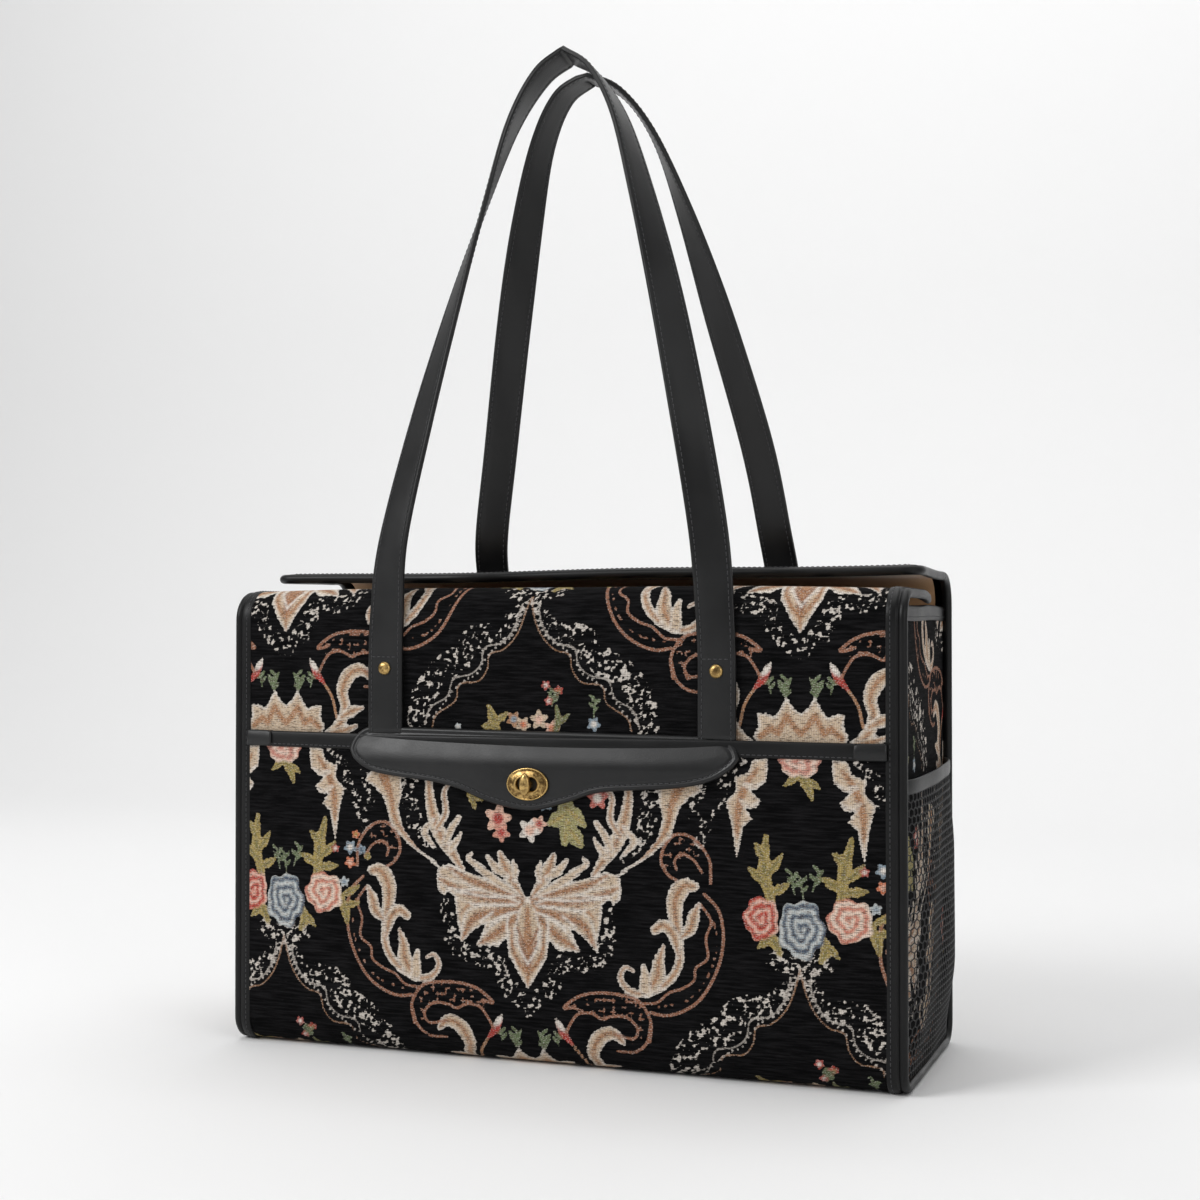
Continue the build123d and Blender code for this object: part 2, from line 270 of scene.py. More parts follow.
def spline(points, count):
    """A smooth curve through points, evenly spaced."""
    points = np.asarray(points, float)
    padded = np.vstack([2 * points[0] - points[1], points, 2 * points[-1] - points[-2]])
    found = []
    for i in range(1, len(padded) - 2):
        p0, p1, p2, p3 = padded[i - 1 : i + 3]
        for t in np.linspace(0, 1, 24, endpoint=False):
            found.append(
                0.5 * (
                    2 * p1 + (p2 - p0) * t + (2 * p0 - 5 * p1 + 4 * p2 - p3) * t**2
                    + (3 * p1 - p0 - 3 * p2 + p3) * t**3
                )
            )
    found.append(points[-1])
    found = np.array(found)
    lengths = run_along(found)
    at = np.linspace(0, lengths[-1], count)
    return np.stack([np.interp(at, lengths, found[:, k]) for k in range(found.shape[1])], -1)


def stitches(path, normal, pitch=3.4, length=2.3, radius=0.28):
    """Raised thread stitches along a path, lying on a surface with these normals."""
    path, normal = np.asarray(path, float), np.asarray(normal, float)
    lengths = run_along(path)
    parts = []
    for k in range(int(lengths[-1] / pitch)):
        at = np.linspace(k * pitch + 0.5, k * pitch + 0.5 + length, 4)
        spot = np.stack([np.interp(at, lengths, path[:, j]) for j in range(3)], -1)
        out = np.stack([np.interp(at, lengths, normal[:, j]) for j in range(3)], -1)
        spot = spot + out * np.array([-0.12, 0.12, 0.12, -0.12])[:, None]
        along = spot[-1] - spot[0]
        side = np.cross(np.repeat(along[None], 4, 0), out)
        side /= np.linalg.norm(side, axis=1)[:, None] + 1e-9
        parts.append(sweep(spot, side, out, circle(radius, 6)))
    return joined(parts)


# ---------------------------------------------------------------- materials


class Nodes:
    """A short way to build a material's node tree."""

    def __init__(self, name):
        self.material = bpy.data.materials.new(name)
        self.material.use_nodes = True
        self.tree = self.material.node_tree
        self.shader = self.tree.nodes["Principled BSDF"]

    def add(self, kind, **settings):
        node = self.tree.nodes.new(kind)
        inputs = settings.pop("inputs", {})
        for key, value in settings.items():
            setattr(node, key, value)
        for key, value in inputs.items():
            self.set(node.inputs[key], value)
        return node

    def set(self, socket, value):
        if isinstance(value, bpy.types.NodeSocket):
            self.tree.links.new(value, socket)
        else:
            socket.default_value = value

    def math(self, operation, *values, clamp=False):
        node = self.add("ShaderNodeMath", operation=operation, use_clamp=clamp)
        for k, value in enumerate(values):
            self.set(node.inputs[k], value)
        return node.outputs[0]

    def mix(self, factor, a, b, blend="MIX"):
        node = self.add("ShaderNodeMix", data_type="RGBA", blend_type=blend)
        self.set(node.inputs[0], factor)
        self.set(node.inputs[6], a)
        self.set(node.inputs[7], b)
        return node.outputs[2]

    def ramp(self, value, low, high, out_low=0.0, out_high=1.0):
        node = self.add("ShaderNodeMapRange", interpolation_type="SMOOTHSTEP")
        for key, item in (
            ("Value", value), ("From Min", low), ("From Max", high), ("To Min", out_low),
            ("To Max", out_high),
        ):
            self.set(node.inputs[key], item)
        return node.outputs[0]

    def place(self, source, scale):
        """The named coordinates, in metres, scaled on each axis."""
        if source == "Cloth":
            start = self.add("ShaderNodeUVMap", uv_map="Cloth").outputs[0]
        else:
            start = self.add("ShaderNodeTexCoord").outputs[source]
        node = self.add("ShaderNodeVectorMath", operation="MULTIPLY")
        self.set(node.inputs[0], start)
        node.inputs[1].default_value = scale
        return node.outputs[0]

    def noise(self, vector, scale=1.0, detail=3.0, roughness=0.55, distortion=0.0):
        node = self.add("ShaderNodeTexNoise")
        self.set(node.inputs["Vector"], vector)
        for key, value in (
            ("Scale", scale), ("Detail", detail), ("Roughness", roughness), ("Distortion", distortion)
        ):
            node.inputs[key].default_value = value
        return node.outputs[0]

    def bands(self, direction, scale, distortion):
        """Fine stripes across the cloth."""
        node = self.add(
            "ShaderNodeTexWave", wave_type="BANDS", bands_direction=direction, wave_profile="SIN"
        )
        self.set(node.inputs["Vector"], self.place("Cloth", (1, 1, 1)))
        node.inputs["Scale"].default_value = scale
        node.inputs["Distortion"].default_value = distortion
        return node.outputs[1]

    def bump(self, height, distance, strength=1.0, under=None):
        node = self.add("ShaderNodeBump")
        self.set(node.inputs["Height"], height)
        node.inputs["Distance"].default_value = distance
        node.inputs["Strength"].default_value = strength
        if under is not None:
            self.set(node.inputs["Normal"], under)
        return node.outputs[0]

    def out(self, **sockets):
        for key, value in sockets.items():
            self.set(self.shader.inputs[key.replace("_", " ")], value)
        return self.material


def leather_material(name, tone, gloss, shine):
    n = Nodes(name)
    at = n.place("Object", (1, 1, 1))
    cells = n.add("ShaderNodeTexVoronoi", feature="F1", inputs={"Vector": at, "Scale": 1500.0})
    fine = n.noise(at, 900, 4, 0.6)
    broad = n.noise(at, 22, 3, 0.5)
    grain = n.math("ADD", n.math("MULTIPLY", cells.outputs[0], 0.6), fine)
    shade = n.ramp(broad, 0.3, 0.75)
    colour = n.mix(
        shade, (tone * 0.75, tone * 0.77, tone * 0.82, 1), (tone * 1.35, tone * 1.37, tone * 1.42, 1)
    )
    rough = n.ramp(
        n.math("ADD", broad, n.math("MULTIPLY", fine, 0.35)), 0.3, 1.0, gloss - 0.07, gloss + 0.13
    )
    normal = n.bump(grain, 0.00012, 0.35, n.bump(broad, 0.0012, 0.25))
    return n.out(Base_Color=colour, Roughness=rough, Normal=normal, Specular_IOR_Level=shine)


def thread_material():
    n = Nodes("black_thread")
    at = n.place("Object", (1, 1, 1))
    twist = n.noise(at, 2500, 2)
    colour = n.mix(twist, (0.020, 0.020, 0.022, 1), (0.065, 0.065, 0.07, 1))
    return n.out(Base_Color=colour, Roughness=0.42, Normal=n.bump(twist, 0.0001, 0.5))


def lining_material():
    n = Nodes("tan_suede")
    at = n.place("Object", (1, 1, 1))
    nap = n.noise(at, 1400, 4, 0.7)
    drift = n.noise(at, 30, 3)
    colour = n.mix(drift, (0.46, 0.25, 0.12, 1), (0.62, 0.37, 0.19, 1))
    colour = n.mix(n.ramp(nap, 0.35, 0.7, 0.0, 0.4), colour, (0.6, 0.38, 0.21, 1))
    return n.out(Base_Color=colour, Roughness=0.95, Normal=n.bump(nap, 0.0003, 0.5), Sheen_Weight=0.4)


def brass_material():
    n = Nodes("antique_brass")
    at = n.place("Object", (1, 1, 1))
    stain = n.noise(at, 260, 5, 0.65)
    scratch = n.noise(n.place("Object", (300, 300, 2600)), 1.0, 3)
    curve = n.add("ShaderNodeNewGeometry").outputs["Pointiness"]
    edge = n.ramp(curve, 0.5, 0.56)
    worn = n.math("MAXIMUM", edge, n.ramp(stain, 0.42, 0.62))
    colour = n.mix(worn, (0.16, 0.095, 0.035, 1), (0.62, 0.42, 0.16, 1))
    rough = n.ramp(n.math("ADD", stain, n.math("MULTIPLY", scratch, 0.4)), 0.4, 1.0, 0.2, 0.45)
    return n.out(Base_Color=colour, Metallic=1.0, Roughness=rough, Normal=n.bump(scratch, 0.00008, 0.4))


def net_material():
    n = Nodes("black_net")
    at = n.place("Object", (1, 1, 1))
    fibre = n.noise(at, 3000, 3)
    colour = n.mix(fibre, (0.006, 0.006, 0.006, 1), (0.028, 0.028, 0.03, 1))
    return n.out(Base_Color=colour, Roughness=0.6, Normal=n.bump(fibre, 0.0001, 0.5), Sheen_Weight=0.15)


def tapestry_material():
    """Black chenille with a woven pattern. The mesh carries its colour and coverage."""
    n = Nodes("tapestry")
    weave = n.add("ShaderNodeVertexColor", layer_name="Weave")
    streak = n.noise(n.place("Cloth", (260, 1500, 1)), 1.0, 3, 0.6)
    slub = n.noise(n.place("Cloth", (55, 700, 1)), 1.0, 3, 0.6)
    thread = n.noise(n.place("Cloth", (900, 1700, 1)), 1.0, 2, 0.5)
    rib = n.bands("X", 310.0, 0.6)
    rows = n.bands("Y", 330.0, 1.5)
    jag = n.math("MULTIPLY", n.math(
        "SUBTRACT", n.math("ADD", n.math("MULTIPLY", streak, 0.6), n.math("MULTIPLY", thread, 0.4)), 0.5
    ), 1.1)
    covered = n.ramp(n.math("ADD", weave.outputs["Alpha"], jag), 0.36, 0.50)
    gap = n.math(
        "MULTIPLY", n.ramp(streak, 0.42, 0.50, 0.9, 0.0),
        n.ramp(n.math("ADD", rows, thread), 0.5, 1.2, 1.0, 0.45),
    )
    yarn = n.mix(gap, weave.outputs["Color"], (0.045, 0.026, 0.018, 1))
    yarn = n.mix(n.ramp(rib, 0.1, 0.9, 0.3, 0.0), yarn, (0.10, 0.06, 0.045, 1))
    yarn = n.mix(n.ramp(thread, 0.52, 0.68, 0.0, 0.35), yarn, (0.9, 0.86, 0.8, 1))
    pile = n.mix(n.ramp(slub, 0.35, 0.75), (0.0020, 0.0020, 0.0022, 1), (0.0110, 0.0106, 0.0114, 1))
    pile = n.mix(n.ramp(streak, 0.62, 0.8, 0.0, 0.5), pile, (0.030, 0.028, 0.030, 1))
    colour = n.mix(covered, pile, yarn)
    height = n.math("ADD", n.math("MULTIPLY", slub, 0.7), n.math("MULTIPLY", streak, 0.6))
    woven = n.math("ADD", n.math("MULTIPLY", rib, 0.35), n.math("MULTIPLY", thread, 0.5))
    relief = n.mix(covered, height, woven)
    normal = n.bump(relief, 0.0009, 0.55)
    return n.out(Base_Color=colour, Roughness=0.95, Normal=normal, Specular_IOR_Level=0.06)


LEATHER = leather_material("black_leather", 0.008, 0.36, shine=0.38)
STRAP_LEATHER = leather_material("strap_leather", 0.007, 0.34, shine=0.38)
# leather for the trims: the same black leather made darker and less shiny, which is painted shade on the
# piping, bindings and beads
SHADED_TRIM_LEATHER = leather_material("trim_leather_painted_shade", 0.005, 0.36, shine=0.24)
THREAD = thread_material()
SUEDE = lining_material()
BRASS = brass_material()
NET = net_material()
TAPESTRY = tapestry_material()
# ---------------------------------------------------------------- the woven pattern, in millimetres

REPEAT_WIDE, REPEAT_HIGH, FINE = 324.0, 414.0, 0.5
COLUMNS, ROWS = int(REPEAT_WIDE / FINE), int(REPEAT_HIGH / FINE)
MOTIF_X, MOTIF_Z = -11.0, 98.0  # the large palmette's heart on the bag


def linear(*srgb):
    c = np.array(srgb) / 255
    return np.where(c <= 0.04045, c / 12.92, ((c + 0.055) / 1.055) ** 2.4)


CREAM = linear(208, 186, 160)
TAN = linear(176, 131, 96)
TERRACOTTA = linear(158, 108, 84)
BROWN = linear(150, 100, 70)
WHITE = linear(232, 224, 214)
GOLD = linear(172, 152, 88)
OLIVE = linear(116, 112, 66)
GREEN = linear(104, 122, 88)
RED = linear(178, 62, 56)
PINK = linear(232, 188, 166)
ORANGE = linear(206, 118, 82)
BLUE = linear(132, 152, 166)
DARK_BLUE = linear(70, 88, 104)


def waves(length, seed, count=48):
    """Smooth random relief over the repeat, about one wave to each length."""
    rng = np.random.default_rng(seed)
    x = np.arange(COLUMNS) / COLUMNS * 2 * pi
    z = np.arange(ROWS) / ROWS * 2 * pi
    total = np.zeros((ROWS, COLUMNS))
    for _ in range(count):
        angle, phase = rng.uniform(0, 2 * pi), rng.uniform(0, 2 * pi)
        size = rng.uniform(0.75, 1.25) / length
        i, j = round(cos(angle) * size * REPEAT_WIDE), round(sin(angle) * size * REPEAT_HIGH)
        total += np.cos(i * x[None, :] + j * z[:, None] + phase)
    return total / total.std()


WORMS = waves(4.0, 11)
BREAKS = waves(6.0, 12)
yarn = np.zeros((ROWS, COLUMNS, 3))
cover = np.zeros((ROWS, COLUMNS))


def outline_field(points):
    """Distance outside (+) or inside (-) a closed outline."""
    points = np.array(points, float)

    def field(x, z):
        inside, best = np.zeros(x.shape, bool), np.full(x.shape, 1e9)
        for (ax, az), (bx, bz) in zip(points, np.roll(points, -1, 0)):
            best = np.minimum(best, to_segment(x, z, (ax, az), (bx, bz))[0])
            inside ^= ((az > z) != (bz > z)) & (x < (bx - ax) * (z - az) / (bz - az + 1e-12) + ax)
        return np.where(inside, -best, best)

    return field


def stroke_field(points, widths):
    """Distance outside or inside a line drawn through points with a changing half width."""
    count = 8 * len(points)
    path = spline(points, count)
    sizes = np.interp(np.linspace(0, 1, count), np.linspace(0, 1, len(widths)), widths)

    def field(x, z):
        best = np.full(x.shape, 1e9)
        for k in range(count - 1):
            away, t = to_segment(x, z, path[k], path[k + 1])
            best = np.minimum(best, away - sizes[k] - t * (sizes[k + 1] - sizes[k]))
        return best

    return field


def paint(points, field, colour, reach=6.0, mirrored=True, through=None, soft=0.45):
    """Lays yarn where the field is below zero, in every place of the half-drop repeat."""
    points = np.array(points, float)
    low, high = points.min(0) - reach, points.max(0) + reach
    x, z = np.meshgrid(np.arange(low[0], high[0], FINE), np.arange(low[1], high[1], FINE))
    shape = smooth(soft, -soft, field(x, z))
    tint = colour(x, z) if callable(colour) else colour
    for across, up in ((0, 0), (REPEAT_WIDE / 2, REPEAT_HIGH / 2)):
        for side in (1, -1) if mirrored else (1,):
            c = np.round((side * x + across) / FINE).astype(int) % COLUMNS
            r = np.round((z + up) / FINE).astype(int) % ROWS
            mask = shape if through is None else shape * through(r, c)
            yarn[r, c] = yarn[r, c] * (1 - mask[..., None]) + tint * mask[..., None]
            cover[r, c] = np.maximum(
                cover[r, c] * (1 - mask), 0
            ) + mask if callable(colour) else np.maximum(cover[r, c], mask)


def line(points, width=0.75, colour=TERRACOTTA, mirrored=True, through=None):
    paint(points, stroke_field(points, [width, width]), colour, mirrored=mirrored, through=through)


def ragged(field, size=0.5):
    """The field with small teeth along its edge."""
    return lambda x, z: field(
        x, z
    ) + size * (np.sin(1.7 * x + 0.8 * z) * np.sin(1.5 * z - 0.6 * x) + 0.6 * np.sin(2.6 * z + 1.1 * x))


def leaf(points, widths, fill=CREAM, edge=WHITE, vein=TAN, mirrored=True, rim=0.9):
    """A tapering leaf with a pale edge and a vein."""
    field = ragged(stroke_field(points, widths), 0.42)
    reach = max(widths) + 4
    paint(points, field, edge, reach, mirrored)
    paint(points, lambda x, z: field(x, z) + rim, fill, reach, mirrored)
    if vein is not None:
        paint(points, stroke_field(points, [0.1 + 0.26 * w for w in widths]), vein, reach, mirrored)


def patch(points, mirrored=True, rim=1.1):
    field = ragged(outline_field(points), 0.5)
    paint(points, field, WHITE, mirrored=mirrored)
    paint(points, lambda x, z: field(x, z) + rim, CREAM, mirrored=mirrored)


def vermicelli(points, widths, mirrored=True, width=0.53, colour=WHITE * 0.85, gaps=-0.6):
    """Short wandering white threads over a region."""
    field = stroke_field(points, widths)

    def threads(r, c):
        return smooth(width, width - 0.22, np.abs(WORMS[r, c])) * smooth(gaps - 0.3, gaps, BREAKS[r, c])

    paint(points, field, colour, max(widths) + 3, mirrored, through=threads, soft=1.2)


def hatch(points, mirrored=True, colour=TERRACOTTA):
    """Sparse ticks inside a scroll."""

    def ticks(r, c):
        upright = np.abs((c * FINE / 2.7) % 1 - 0.5) < 0.16
        level = np.abs((r * FINE / 3.1) % 1 - 0.5) < 0.16
        return (upright | level) * smooth(-0.1, 0.5, BREAKS[r, c]) * 0.8

    paint(points, outline_field(points), colour, mirrored=mirrored, through=ticks)


def rose(x0, z0, wide, high, light, dark, mirrored=False, turns=2.4):
    """A full bloom with curled petals."""

    def polar(x, z):
        a, b = (x - x0) / wide, (z - z0) / high
        angle = np.arctan2(b, a)
        return np.hypot(a, b) / (1 + 0.07 * np.sin(5 * angle + x0) + 0.05 * np.sin(9 * angle)), angle

    def field(x, z):
        return (polar(x, z)[0] - 1) * min(wide, high)

    def tint(x, z):
        radius, angle = polar(x, z)
        curl = np.sin(
            2 * pi * turns * radius + 1.0 * angle + 0.9 * np.sin(3 * angle + z0)
            + 0.3 * np.sin(1.7 * x) * np.sin(1.3 * z)
        )
        share = smooth(-0.6, 0.1, curl)[..., None]
        bright = smooth(0.45, 0.9, curl)[..., None] * 0.6
        return (light * share + dark * (1 - share)) * (1 - bright) + WHITE * bright

    paint([(x0 - wide, z0 - high), (x0 + wide, z0 + high)], field, tint, 3, mirrored)


def blossom(x0, z0, size, light, heart, mirrored=False, petals=5):
    def radius(x, z):
        angle = np.arctan2(z - z0, x - x0)
        return np.hypot(x - x0, z - z0) - size * (0.78 + 0.22 * np.sin(petals * angle + x0))

    def tint(x, z):
        share = smooth(0.28, 0.5, np.hypot(x - x0, z - z0) / size)[..., None]
        return light * share + heart * (1 - share)

    paint([(x0 - size, z0 - size), (x0 + size, z0 + size)], radius, tint, 3, mirrored)


def sprig(points, lobes, colour=GOLD, shade=OLIVE, mirrored=False, size=2.0):
    """A stem with lobed leaves to both sides."""
    leaf(points, [size * 0.9, size * 1.5, size * 0.5], colour, colour, shade, mirrored)
    for x0, z0, x1, z1 in lobes:
        leaf(
            [(x0, z0), ((x0 + x1) / 2 + 0.4, (z0 + z1) / 2), (x1, z1)],
            [size * 0.5, size * 1.1, size * 0.3], colour, colour, shade, mirrored,
        )


def twig(x0, z0, side=1, high=9.0, colour=GREEN, mirrored=True):
    """A small green spray."""
    line([(x0, z0), (x0 + side, z0 + high * 0.5), (x0 + side * 2, z0 + high)], 0.45, colour, mirrored)
    for k, lean in ((0.35, 1), (0.55, -1), (0.75, 1), (0.95, -1)):
        base = (x0 + side * 2 * k, z0 + high * k)
        leaf(
            [base, (base[0] + lean * 2.0, base[1] + 1.6), (base[0] + lean * 3.4, base[1] + 3.4)],
            [0.4, 1.1, 0.3], colour, colour, None, mirrored,
        )


def along(points, pitch):
    """Places and directions every pitch along a curve."""
    path = spline(np.array(points, float), 160)
    run = run_along(path)
    tangent = headings(path)
    picks = np.searchsorted(run, np.arange(pitch / 2, run[-1], pitch))
    return [(path[k], tangent[k], run[k] / run[-1]) for k in picks]


def beads(points, size, pitch, colour=WHITE):
    """A row of round dots."""
    for (x0, z0), _, _ in along(points, pitch):
        corners = [(x0 - size, z0 - size), (x0 + size, z0 + size)]
        paint(corners, lambda x, z, x0=x0, z0=z0: np.hypot(x - x0, z - z0) - size, colour, 2)


def chevrons(points, spread, pitch=3.8, colour=TERRACOTTA):
    """Small V strokes down the middle of a petal."""
    for tip, ahead, share in along(points, pitch):
        wing = spread * sin(pi * share) ** 0.5
        side = np.array([-ahead[1], ahead[0]]) * wing
        back = tip - ahead * wing * 0.8
        line([tuple(back + side), tuple(tip), tuple(back - side)], 0.45, colour)


def lace():
    """The white dotted garlands that frame the motifs."""
    edge = [
        (0, 176), (3, 164), (8, 153), (16, 145), (25, 142), (27, 133), (33, 126), (45, 124), (48, 114),
        (60, 106), (63, 98),
    ]
    outer = [(-x, z) for x, z in edge]
    far = [
        (-5, 171), (-9, 158), (-17, 149), (-28, 146), (-31, 136), (-38, 130), (-49, 127), (-53, 117),
        (-64, 110), (-68, 100),
    ]
    vermicelli(
        [(-6, 168), (-17, 156), (-33, 151), (-45, 139), (-60, 130), (-69, 116), (-73, 100)],
        [4, 6, 9, 9, 8, 9, 7],
    )
    line(outer, 0.42, TAN * 0.75)
    line(far, 0.42, WHITE * 0.5)
    beads([((a + c) / 2, (b + d) / 2) for (a, b), (c, d) in zip(outer, far)], 0.72, 3.3, WHITE * 0.8)


def palmette():
    vermicelli(
        [(-52, -6), (-49, -24), (-42, -33), (-30, -36), (-20, -38), (-14, -50), (-4, -60), (0, -66)],
        [4, 5, 6, 6, 6, 6, 6, 4],
    )
    half = [
        (0, 0), (-9, 2), (-18, 5), (-34, 8), (-43, 16), (-50, 18), (-57, 16), (-58, 8), (-57, 2), (-53, -1),
        (-50, 3), (-47, 4),
    ]
    half += [
        (-46, -5), (-45, -15), (-42, -26), (-37, -19), (-32, -15), (-25, -11), (-28, -19), (-31, -27),
        (-26, -29), (-19, -29), (-13, -23),
    ]
    half += [(-12, -34), (-7, -41), (0, -50)]
    patch(half + [(-x, z) for x, z in half[-2:0:-1]], mirrored=False, rim=1.3)
    veins = [
        ([(-10, -18), (-9.5, -29), (-6, -37), (0, -44)], [0.8, 1.9, 2.2, 2.0]),
        ([(-3, -2), (-8, -9), (-11, -17)], [1.6, 1.2, 0.4]),
        ([(-14, -5), (-18, -10), (-22, -9)], [1.0, 1.2, 0.4]),
        ([(-30, -3), (-38, -6), (-43, -12)], [0.8, 1.4, 0.4]),
    ]
    petals = [
        ([(-2, -3), (-22, -1), (-40, 2), (-56, 9)], [3.0, 5.0, 6.0, 2.0]),
        ([(-2, -1), (-18, 4), (-36, 9), (-50, 16)], [2.4, 3.6, 4.2, 1.4]),
        ([(-4, -6), (-20, -9), (-34, -13), (-42, -26)], [3.0, 5.0, 6.0, 1.2]),
        ([(-4, -9), (-13, -16), (-21, -22), (-31, -28)], [3.0, 5.2, 5.4, 1.2]),
    ]
    for points, widths in petals:
        leaf(points, widths, rim=1.0)
        chevrons(points, max(widths) * 0.45, 3.2, BROWN)
    leaf([(0, -6), (0, -22), (0, -36), (0, -51)], [5.0, 9.0, 9.0, 1.0], mirrored=False, rim=1.1)
    for points, widths in veins:
        paint(points, stroke_field(points, [width * 0.6 for width in widths]), TAN)
    for reach, low in ((6.5, -24), (5.5, -30), (4.0, -36)):
        line([(-reach, low + reach), (0, low - 4), (reach, low + reach)], 0.8, BROWN, mirrored=False)
    partings = [
        [(-12, -9), (-13, -17), (-12, -26)],
        [(-22, -9), (-26, -12), (-30, -15)],
        [(-7, -19), (-6, -28), (0, -38)],
        [(-30, 4), (-42, 3), (-50, 4)],
        [(-8, 1), (-24, 0), (-46, 2)],
        [(-8, -4), (-22, -5), (-36, -5)],
        [(-7, -8), (-18, -12), (-24, -17)],
    ]
    for points in partings:
        line(points, 0.75, WHITE)
    leaf([(-2, 0), (-8, 8), (-13, 16), (-17, 26)], [1.1, 3.0, 4.6, 1.6])
    leaf([(-12, 13), (-19, 17), (-25, 24)], [1.4, 2.8, 1.2], vein=None)
    leaf([(-8, 10), (-7, 17), (-9, 22)], [1.2, 2.0, 0.8], vein=None)
    leaf([(-5, 2), (-20, 10), (-30, 17), (-37, 22), (-35, 25)], [1.0, 2.3, 2.8, 2.2, 1.2], vein=None)


def side_leaves():
    vermicelli([(-76, 66), (-74, 50), (-69, 36), (-60, 26)], [7, 6, 6, 3])
    vermicelli([(-112, 92), (-108, 78), (-103, 62), (-101, 50)], [4, 4, 4, 3])
    tall = [
        (-57, 16), (-77, 29), (-88, 40), (-93, 56), (-100, 63), (-106, 66), (-101, 72), (-90, 76),
        (-82, 76), (-81, 60), (-83, 49), (-80, 38), (-71, 27), (-57, 18),
    ]
    patch(tall, rim=0.9)
    leaf([(-93, 69), (-88, 57), (-86, 46), (-80, 36), (-70, 26)], [3.4, 1.8, 1.2, 0.8, 0.3], TAN, TAN, None)
    stem = [(-62, 86), (-63, 66), (-61, 50), (-56, 36), (-48, 25), (-41, 15)]
    leaf(stem, [1.0, 2.0, 3.2, 4.6, 4.0, 1.6])
    leaf([(-58, 38), (-52, 48), (-53, 60), (-49, 66)], [2.0, 2.2, 2.0, 1.0])
    leaf([(-52, 31), (-48, 39), (-43, 46)], [2.2, 2.4, 1.6], vein=None)
    leaf([(-49, 27), (-44, 33), (-42, 37)], [2.2, 2.0, 0.8], vein=None)
    leaf([(-60, 44), (-66, 36), (-60, 28)], [1.0, 2.2, 1.2], vein=None)


def scrolls():
    hatch([(-107, 30), (-100, 38), (-91, 40), (-84, 33), (-82, 24), (-86, 18), (-90, 27), (-99, 27)])
    line([(-111, 14), (-110, 28), (-101, 39), (-91, 41), (-84, 34), (-82, 25), (-86, 18), (-91, 15)], 0.8)
    line([(-106, 20), (-101, 27), (-94, 30), (-90, 26), (-91, 21)], 0.7)
    outer = [
        (-107, 8), (-115, 0), (-118, -12), (-117, -26), (-112, -40), (-104, -52), (-94, -59), (-84, -62),
        (-75, -61),
    ]
    inner = [
        (-105, 2), (-111, -7), (-108, -17), (-109, -28), (-102, -34), (-101, -41), (-94, -46), (-86, -49),
        (-79, -55), (-71, -56),
    ]
    middle = [(-111, -3), (-114, -14), (-113, -28), (-107, -42), (-98, -52), (-86, -56), (-76, -58)]
    line(outer, 0.85)
    line(inner, 0.7)
    line(middle, 0.7, TERRACOTTA * 0.8, through=lambda r, c: smooth(0.15, 0.5, WORMS[r, c]))
    hatch([
        (-73, -58), (-60, -53), (-42, -53), (-28, -58), (-26, -66), (-39, -63), (-47, -66), (-60, -65),
        (-67, -71), (-62, -82), (-70, -76),
    ])
    line(
        [(-74, -78), (-75, -66), (-68, -55), (-56, -52), (-42, -52), (-31, -55), (-22, -62), (-29, -61)],
        0.85,
    )
    line([
        (-53, -75), (-64, -77), (-67, -71), (-61, -65), (-51, -65), (-46, -67), (-39, -64), (-31, -65),
        (-26, -71), (-23, -77),
    ], 0.75)
    line([(-75, -68), (-72, -79), (-64, -85), (-54, -85)], 0.8)
    leaf([
        (-101, 12), (-95, 12), (-90, 4), (-90, -6), (-92, -18), (-92, -32), (-85, -43), (-72, -50),
        (-62, -49), (-57, -42), (-60, -36), (-65, -38),
    ],
         [3.0, 5.4, 4.8, 3.4, 2.4, 2.6, 2.6, 2.4, 2.4, 2.2, 1.8, 1.0])
    leaf([(-93, -18), (-99, -12), (-101, -5), (-104, 2)], [1.0, 3.6, 3.6, 1.0])
    leaf([(-92, -28), (-89, -16), (-83, -11), (-78, -14)], [1.0, 3.2, 3.6, 2.8])
    leaf([(-73, -49), (-79, -40), (-80, -31), (-83, -22)], [3.4, 4.8, 3.4, 0.9])
    leaf([(-72, -48), (-72, -41), (-71, -35)], [3.6, 3.0, 1.4], vein=None)


